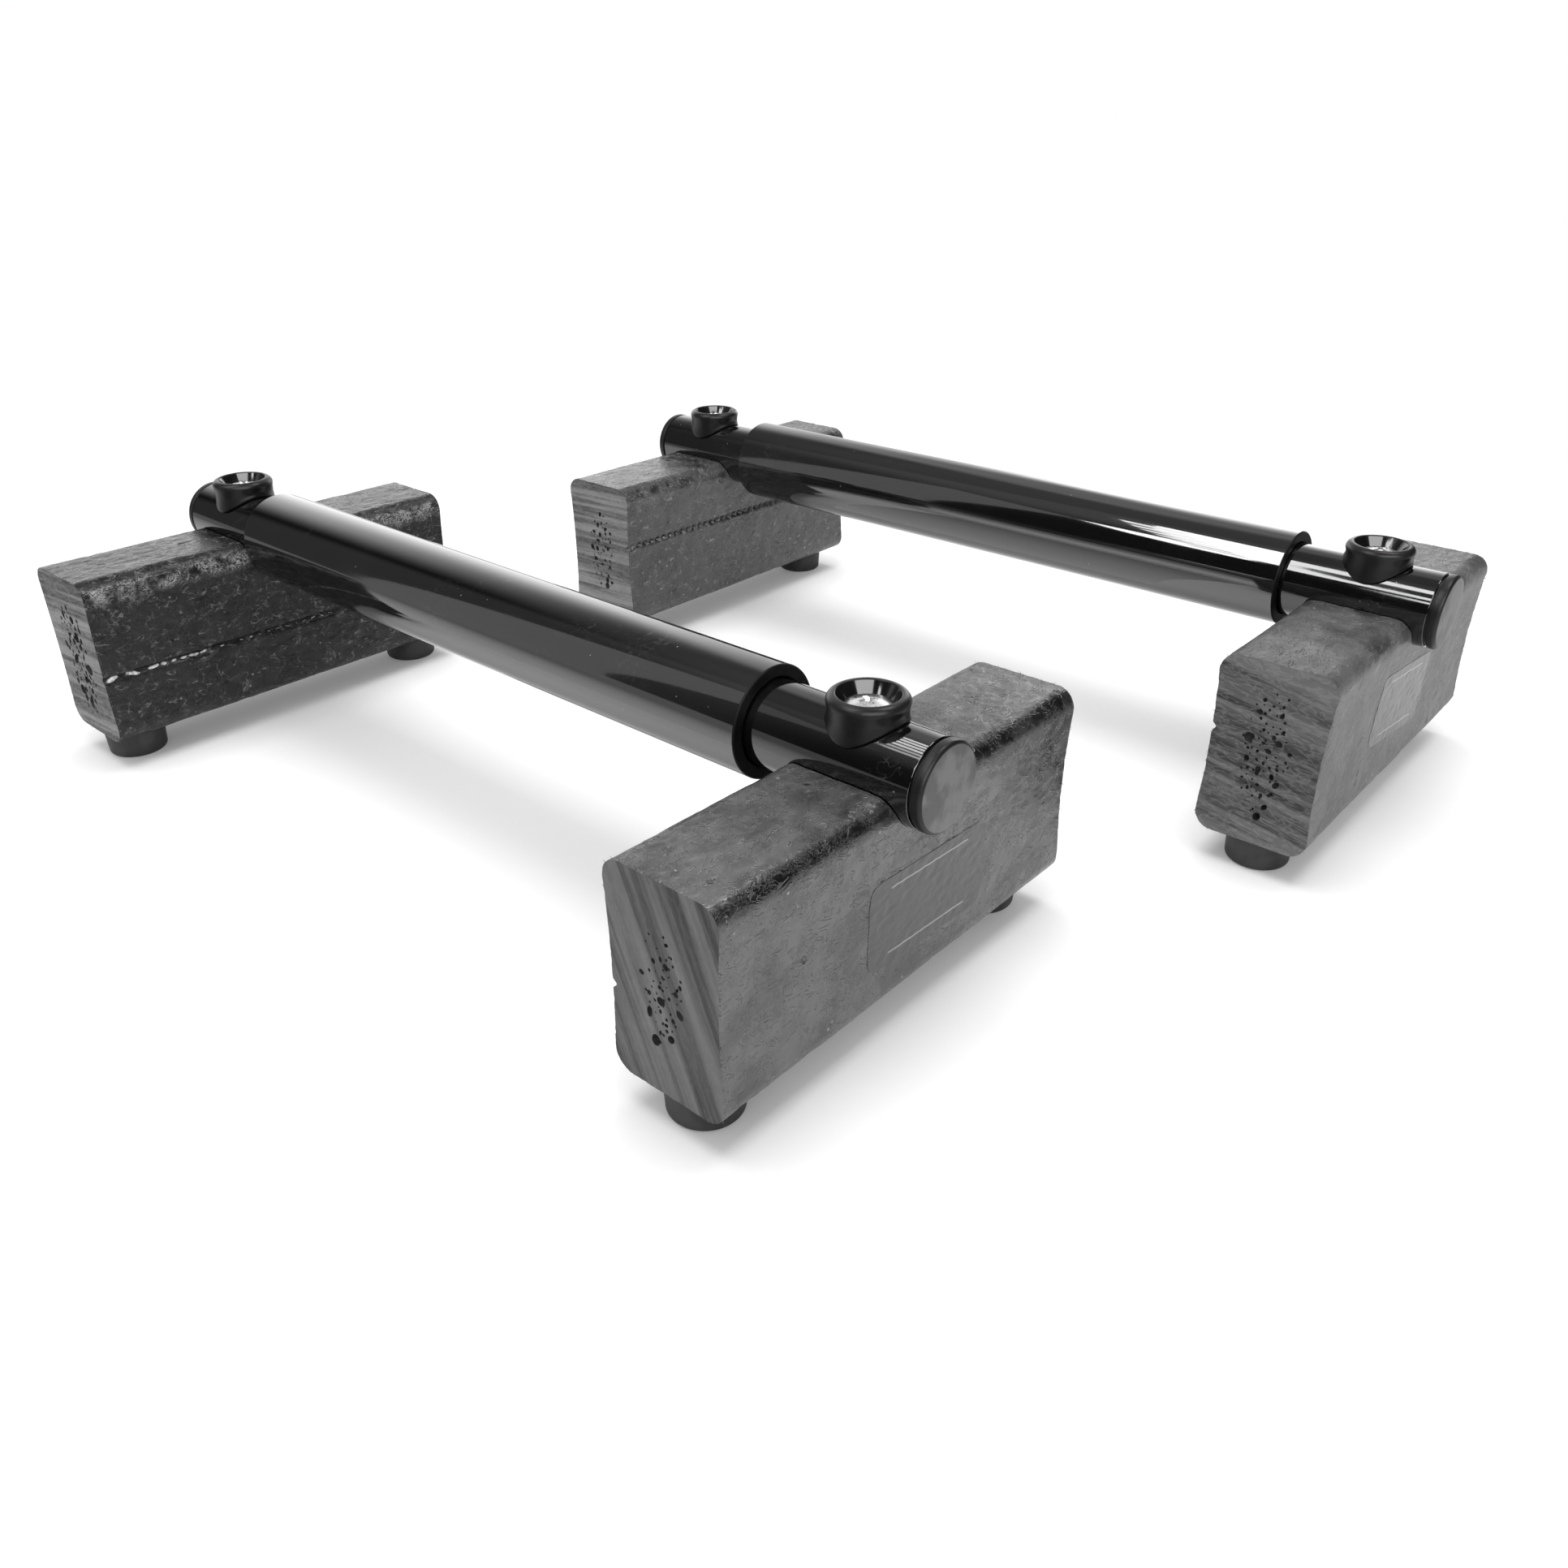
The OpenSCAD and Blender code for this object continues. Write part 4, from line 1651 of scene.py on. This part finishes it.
@dataclass
class BarScrew:
    """The long screw that holds a cup and the tube down, with a cross in its domed head."""

    stand: Stand
    side: Side
    head_r: float = 6.4 * MM
    head_t: float = 2.1 * MM
    rim_t: float = 0.8 * MM
    shank_r: float = 3.0 * MM
    point_l: float = 6.6 * MM
    slot_l: float = 6.6 * MM
    slot_w: float = 1.5 * MM
    slot_depth: float = 1.5 * MM
    rim_r: float = 0.3 * MM
    rim_inset: float = 0.25 * MM
    under_inset: float = 0.6 * MM

    def build(self) -> None:
        """Turns the screw and cuts the cross into its head."""
        node = self.stand.node(self.side.word, "bar_screw")
        low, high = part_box(node)
        under = high.z - self.head_t
        outline = Outline()
        crown = self.head_t - self.rim_t
        for i in range(13):
            reach = (self.head_r - self.rim_inset) * i / 12
            outline.to(reach, self.head_t - crown * (reach / self.head_r) ** 2)
        rim = (self.head_r - self.rim_r, self.rim_t - self.rim_inset)
        outline.arc(rim, self.rim_r, 55, -60, 5)
        outline.to(self.head_r - self.under_inset, 0).to(self.shank_r, 0)
        bottom = low.z - under
        outline.to(self.shank_r, bottom + self.point_l).to(0.15 * self.shank_r, bottom).to(0, bottom)
        mesh = turned_mesh(f"{node}_steel", outline, False, 96)
        screw = add_object(mesh.name, mesh, [ZINC])
        for turn in (0, 90):
            cut_away(screw, self.wing(turn))
        middle = (low + high) / 2
        turned = Matrix.Rotation(math.radians(35 + 25 * self.side.value), 4, "Z")
        screw.data.transform(Matrix.Translation((middle.x, middle.y, under)) @ turned)
        crisp_edges(screw, 32.0)
        settle(screw, self.stand.still_body, "zinc_hardware", node)

    def wing(self, turn: float) -> bpy.types.Object:
        """One tapered slot of the cross.

        Args:
            turn: The slot's direction in degrees.

        Returns:
            The cutter.
        """
        over = 1 * MM
        edit = bmesh.new()
        for z, share in ((self.head_t - self.slot_depth, 0.55), (self.head_t + over, 1.0)):
            for x, y in ((-1, -1), (1, -1), (1, 1), (-1, 1)):
                edit.verts.new((x * self.slot_l / 2 * share, y * self.slot_w / 2 * (0.4 + 0.6 * share), z))
        corners = list(edit.verts)
        edit.faces.new(corners[3::-1])
        edit.faces.new(corners[4:])
        for i in range(4):
            j = (i + 1) % 4
            edit.faces.new((corners[i], corners[j], corners[4 + j], corners[4 + i]))
        bmesh.ops.recalc_face_normals(edit, faces=edit.faces)
        mesh = bpy.data.meshes.new("wing")
        edit.to_mesh(mesh)
        edit.free()
        mesh.transform(Matrix.Rotation(math.radians(turn), 4, "Z"))
        return add_object("wing", mesh, [ZINC])


@dataclass
class RubberFoot:
    """A moulded rubber foot, hollow below round its screw."""

    stand: Stand
    side: Side
    end: End
    taper: float = 1.0 * MM
    edge_r: float = 1.5 * MM
    recess_r: float = 5.6 * MM
    web: float = 4.0 * MM
    hole_r: float = 2.35 * MM
    brow_r: float = 0.35 * MM
    lip_r: float = 0.6 * MM

    def build(self) -> None:
        """Turns the foot."""
        node = self.stand.node(self.side.word, self.end.word, "foot")
        low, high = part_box(node)
        top, r = high.z, (high.x - low.x) / 2
        floor_r = r - self.taper / 2
        ceiling = top - self.web
        outline = Outline().to(self.hole_r, top).to(r - self.brow_r, top)
        outline.arc((r - self.brow_r, top - self.brow_r), self.brow_r, 80, 0, 4)
        outline.arc((floor_r - self.edge_r, self.edge_r), self.edge_r, 0, -90, 8)
        outline.arc((self.recess_r + self.lip_r, self.lip_r), self.lip_r, -90, -180, 5)
        outline.to(self.recess_r, ceiling).to(self.hole_r, ceiling)
        mesh = turned_mesh(f"{node}_rubber", outline, True, 112)
        middle = (low + high) / 2
        mesh.transform(Matrix.Translation((middle.x, middle.y, 0)))
        foot = add_object(mesh.name, mesh, [RUBBER])
        crisp_edges(foot, 50.0)
        settle(foot, self.stand.still_body, "rubber_foot", node)


@dataclass
class ParalletteBar:
    """One bar of the pair, from its feet to its cups."""

    stand: Stand
    seam_up: float

    def build(self, nodes: dict[str, bpy.types.Object]) -> None:
        """Builds the bar's pieces in order.

        Args:
            nodes: The frame's nodes by name.
        """
        tube = BarTube(self.stand)
        tube.build()
        GripSleeve(self.stand).build()
        for side in Side:
            block = LumberBlock(self.stand, side, self.seam_up, tube.centre)
            block.build()
            if side is Side.RIGHT:
                self.label(block).build()
            EndCap(self.stand, side, tube).build()
            SaddleCup(self.stand, side, tube).build()
            BarScrew(self.stand, side).build()
            for end in End:
                RubberFoot(self.stand, side, end).build()
        for hidden in ("foot_washers", "foot_screws"):
            mesh = nodes[self.stand.node(hidden)].data
            mesh.materials.clear()
            mesh.materials.append(ZINC.material())

    def label(self, block: LumberBlock) -> Label:
        """The bar's label, which was stuck on by hand and sits a little askew.

        Args:
            block: The block that it lies on.

        Returns:
            The label.
        """
        if self.stand is Stand.FRONT:
            return Label(block)
        return Label(block, middle_along=-1.5 * MM, middle_up=31.5 * MM, height=26 * MM, tilt=-7.0)


def level_sheet(near: Sequence[float], far: Sequence[float], height: float) -> list[tuple[float, ...]]:
    """Lays out a level rectangle.

    Args:
        near: Its lowest X and Y.
        far: Its highest X and Y.
        height: Its height.

    Returns:
        The corners in order.
    """
    (x0, y0), (x1, y1) = near, far
    return [(x0, y0, height), (x1, y0, height), (x1, y1, height), (x0, y1, height)]


def flat_mesh(name: str, corners: Sequence[Sequence[float]]) -> bpy.types.Mesh:
    """Makes a mesh of one flat face.

    Args:
        name: The mesh's name.
        corners: The face's corners in order.

    Returns:
        The mesh.
    """
    mesh = bpy.data.meshes.new(name)
    mesh.from_pydata(corners, [], [list(range(len(corners)))])
    return mesh


@dataclass
class Studio:
    """A plain white floor and background, soft lamps, and the dim room that the gloss mirrors."""

    ambient: float = 0.78
    floor_size: float = 12.0
    floor_shade: float = 0.93
    lift: float = 0.1
    fade_start: float = 0.3
    fade_end: float = 0.75
    room_radius: float = 5.0
    room_dark: float = 0.02
    ceiling_light: float = 0.22
    ceiling_rise: tuple[float, ...] = (36.0, 56.0)
    window_light: float = 1.9
    window_bearing: tuple[float, ...] = (-104.0, -76.0, -18.0, 0.0)
    window_rise: tuple[float, ...] = (50.0, 12.0)
    softbox_light: float = 5.0
    softbox_bearing: tuple[float, ...] = (92.0, 93.5, 158.5, 160.0)
    softbox_rise: tuple[float, ...] = (17.0, 18.0, 50.0, 52.0)
    haze_light: float = 0.4
    haze_bearing: tuple[float, ...] = (-60.0, -46.0, -18.0, 0.0)
    haze_rise: tuple[float, ...] = (30.0, 44.0, 54.0, 66.0)
    wall_light: float = 0.1
    wall_bearing: tuple[float, ...] = (-150.0, -136.0, -112.0, -104.0)
    strip_light: float = 9.0
    strip_height: float = 2.0
    paper_height: float = 0.0008
    slat_height: float = 0.35
    slat_pitch: float = 0.037
    slat_width: float = 0.022

    def build_world(self) -> None:
        """A world that is white to the eye and a soft grey to the object."""
        world = bpy.data.worlds.new("white_room")
        bpy.context.scene.world = world
        world.use_nodes = True
        graph = Graph(world.node_tree)
        graph.tree.nodes.clear()
        strength = self.ambient + graph.seen_as_background() * (1.0 - self.ambient)
        white = graph.step("ShaderNodeBackground", {"Color": grey(1.0), "Strength": strength})
        graph.node("ShaderNodeOutputWorld", {"Surface": white})

    def floor_shader(self, graph: SurfaceGraph) -> Value:
        """Pale paper that takes a shadow and glows white further out.

        Args:
            graph: The material's node tree.

        Returns:
            The shader.
        """
        here = graph.here()
        shade = graph.mix_colour(graph.noise(here, 400.0, 2.0), 0.99 * self.floor_shade, self.floor_shade)
        paper = graph.step("ShaderNodeBsdfDiffuse", {"Color": shade})
        away = graph.vector_math("LENGTH", here, output=1)
        white = self.lift + away.ramp(self.fade_start, self.fade_end) * (1.0 - self.lift)
        sockets = {0: white * graph.seen_as_background(), 1: paper, 2: graph.glow(1.0, 1.0)}
        return graph.step("ShaderNodeMixShader", sockets)

    def room_shader(self, graph: SurfaceGraph) -> Value:
        """The room's glow by bearing and rise, in degrees from the middle of the floor.

        Args:
            graph: The material's node tree.

        Returns:
            The shader.
        """
        x, y, z = graph.axes(graph.here())
        degrees = 180.0 / math.pi
        bearing = graph.math("ARCTAN2", x, y) * degrees
        rise = graph.math("ARCSINE", (z / self.room_radius).at_most(1.0), 0.0) * degrees
        uneven = 1.15 - bearing.ramp(-50.0, -38.0) * 0.55 + bearing.ramp(-32.0, -21.0) * 1.4
        window = bearing.band(*self.window_bearing) * rise.ramp(*self.window_rise) * uneven
        softbox = bearing.band(*self.softbox_bearing) * rise.band(*self.softbox_rise)
        haze = bearing.band(*self.haze_bearing) * rise.band(*self.haze_rise)
        wall = bearing.band(*self.wall_bearing)
        light = self.room_dark + rise.ramp(*self.ceiling_rise) * (self.ceiling_light - self.room_dark)
        light = light + wall * self.wall_light + haze * self.haze_light
        light = light + window * self.window_light + softbox * self.softbox_light
        return graph.glow(1.0, light)

    def backdrop(
        self, mesh: bpy.types.Mesh, shader: Callable[[SurfaceGraph], Value], mirrored_only: bool = True
    ) -> None:
        """Adds a mesh to the scene as part of the surroundings.

        Args:
            mesh: The mesh, whose name the backdrop and its material take.
            shader: Makes its shader in its material's graph.
            mirrored_only: Whether it shows in reflections alone.
        """
        piece = add_object(mesh.name, mesh)
        material = bpy.data.materials.new(mesh.name)
        graph = SurfaceGraph(material)
        graph.show(shader(graph))
        mesh.materials.append(material)
        if mirrored_only:
            for ray in ("camera", "diffuse", "shadow", "transmission", "volume_scatter"):
                setattr(piece, f"visible_{ray}", False)

    def build_room(self) -> None:
        """The dim room round the floor: a dull ceiling, and a bright window behind on the left."""
        edit = bmesh.new()
        bmesh.ops.create_uvsphere(edit, u_segments=48, v_segments=32, radius=self.room_radius)
        below = [v for v in edit.verts if v.co.z < -0.01]
        bmesh.ops.delete(edit, geom=below, context="VERTS")
        mesh = bpy.data.meshes.new("room")
        edit.to_mesh(mesh)
        edit.free()
        self.backdrop(mesh, self.room_shader)

    def panel(
        self, name: str, corners: Sequence[Sequence[float]], light: float, fade: Sequence[float] = ()
    ) -> None:
        """Adds a lit panel that shows in reflections alone.

        Args:
            name: The panel's name.
            corners: Its corners in order.
            light: Its brightness, where 1 is white.
            fade: Where it starts to lighten along Y, where it is white, and its shade before that.
        """

        def shader(graph: SurfaceGraph) -> Value:
            """An even white, or one that fades along Y.

            Args:
                graph: The material's node tree.

            Returns:
                The shader.
            """
            if not fade:
                return graph.glow(1.0, light)
            _, y, _ = graph.axes(graph.here())
            return graph.glow(graph.mix_colour(y.ramp(*fade[:2]), fade[2], 1.0), light)

        self.backdrop(flat_mesh(name, corners), shader)

    def build_panels(self) -> None:
        """A post, two glowing floor sheets with painted light and shade near the bars, strip lamps overhead
        and a slatted lamp over them.
        """
        post = [(-0.47, -0.65, 0.0), (-0.60, -0.48, 0.0), (-0.60, -0.48, 0.9), (-0.47, -0.65, 0.9)]
        self.panel("post", post, 0.5)
        # Glowing sheets that stand in for the floor in reflections alone. Their fade along Y is painted
        # light and shade: the front sheet dims away from the bars, and the middle one dims towards the
        # front bar, as its shadow.
        paper = level_sheet((-4.0, -4.0), (0.35, -0.2), self.paper_height)
        self.panel("front_paper", paper, 1.15, (-0.45, -0.18, 0.39))
        paper = level_sheet((-0.09, -0.085), (0.085, 0.092), self.paper_height)
        self.panel("middle_paper", paper, 1.0, (-0.08, 0.09, 0.5))
        near_strip = [(-0.1, -0.95), (-0.1, -0.6), (-0.38, -0.45), (-0.735, -0.42), (-0.8, -0.8)]
        near_strip += [(-0.845, -1.2), (-0.9, -1.5), (-0.92, -1.7), (-1.23, -1.75), (-1.25, -2.2)]
        near_strip += [(-1.15, -2.4), (-0.95, -2.4), (-0.85, -2.1), (-0.1, -2.03), (-0.1, -1.65)]
        near_strip += [(-0.52, -1.6), (-0.56, -1.25), (-0.5, -0.95)]
        strips = {
            "near_strip": [(x, y, self.strip_height) for x, y in reversed(near_strip)],
            "far_strip": level_sheet((-0.65, -3.15), (-0.1, -2.6), self.strip_height),
            "back_strip": level_sheet((0.0, 0.5), (0.9, 1.1), self.strip_height),
        }
        for name, corners in strips.items():
            self.panel(name, corners, self.strip_light)
        for i, light in enumerate([6.5, 6.5, 6.5, 6.5, 4.0, 4.0]):
            y = -i * self.slat_pitch
            slat = level_sheet((-0.035, y - self.slat_width), (0.008, y), self.slat_height)
            self.panel(f"slat_{i}", slat, light)

    def lamp(self, name: str, at: Sequence[float], size: float, power: float) -> None:
        """A square soft lamp that faces the object.

        Args:
            name: The lamp's name.
            at: Its place.
            size: Its side.
            power: Its power in watts.
        """
        light = bpy.data.lights.new(name, "AREA")
        light.size, light.energy = size, power
        lamp = bpy.data.objects.new(name, light)
        bpy.context.scene.collection.objects.link(lamp)
        lamp.location = at
        lamp.rotation_euler = (-Vector(at)).to_track_quat("-Z", "Y").to_euler()
        lamp.visible_camera = False
        lamp.visible_glossy = False

    def build(self) -> None:
        """Builds the whole studio."""
        half = self.floor_size / 2
        self.build_world()
        floor = flat_mesh("floor", level_sheet((-half, -half), (half, half), 0.0))
        self.backdrop(floor, self.floor_shader, mirrored_only=False)
        self.build_room()
        self.build_panels()
        self.lamp("key", (0.0, -0.05, 2.2), 1.6, 40.0)
        bpy.context.scene.view_settings.view_transform = "Standard"
        LOG.info("studio built")


@dataclass(frozen=True)
class PhotoCamera:
    """The camera of the photograph."""

    place: tuple[float, float, float] = (0.306065, -0.344882, 0.229996)
    azimuth: float = 40.864
    elevation: float = 28.54
    lens: float = 29.474
    sensor: float = 36.0

    def build(self) -> None:
        """Adds the camera and makes it the scene's own."""
        data = bpy.data.cameras.new("camera")
        data.lens, data.sensor_width = self.lens, self.sensor
        data.clip_start, data.clip_end = 0.01, 100.0
        camera = bpy.data.objects.new("camera", data)
        bpy.context.scene.collection.objects.link(camera)
        a, e = math.radians(self.azimuth), math.radians(self.elevation)
        back = Vector((math.sin(a) * math.cos(e), -math.cos(a) * math.cos(e), math.sin(e)))
        camera.location = self.place
        camera.rotation_mode = "QUATERNION"
        camera.rotation_quaternion = (-back).to_track_quat("-Z", "Y")
        bpy.context.scene.camera = camera


def main() -> None:
    """Dresses the frame and sets the studio round it."""
    logging.basicConfig(level=logging.INFO, format="%(name)s: %(message)s")
    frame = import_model()
    PhotoCamera().build()
    Studio().build()
    ParalletteBar(Stand.FRONT, seam_up=26.4 * MM).build(frame["nodes"])
    ParalletteBar(Stand.REAR, seam_up=37.1 * MM).build(frame["nodes"])


if __name__ == "__main__":
    main()
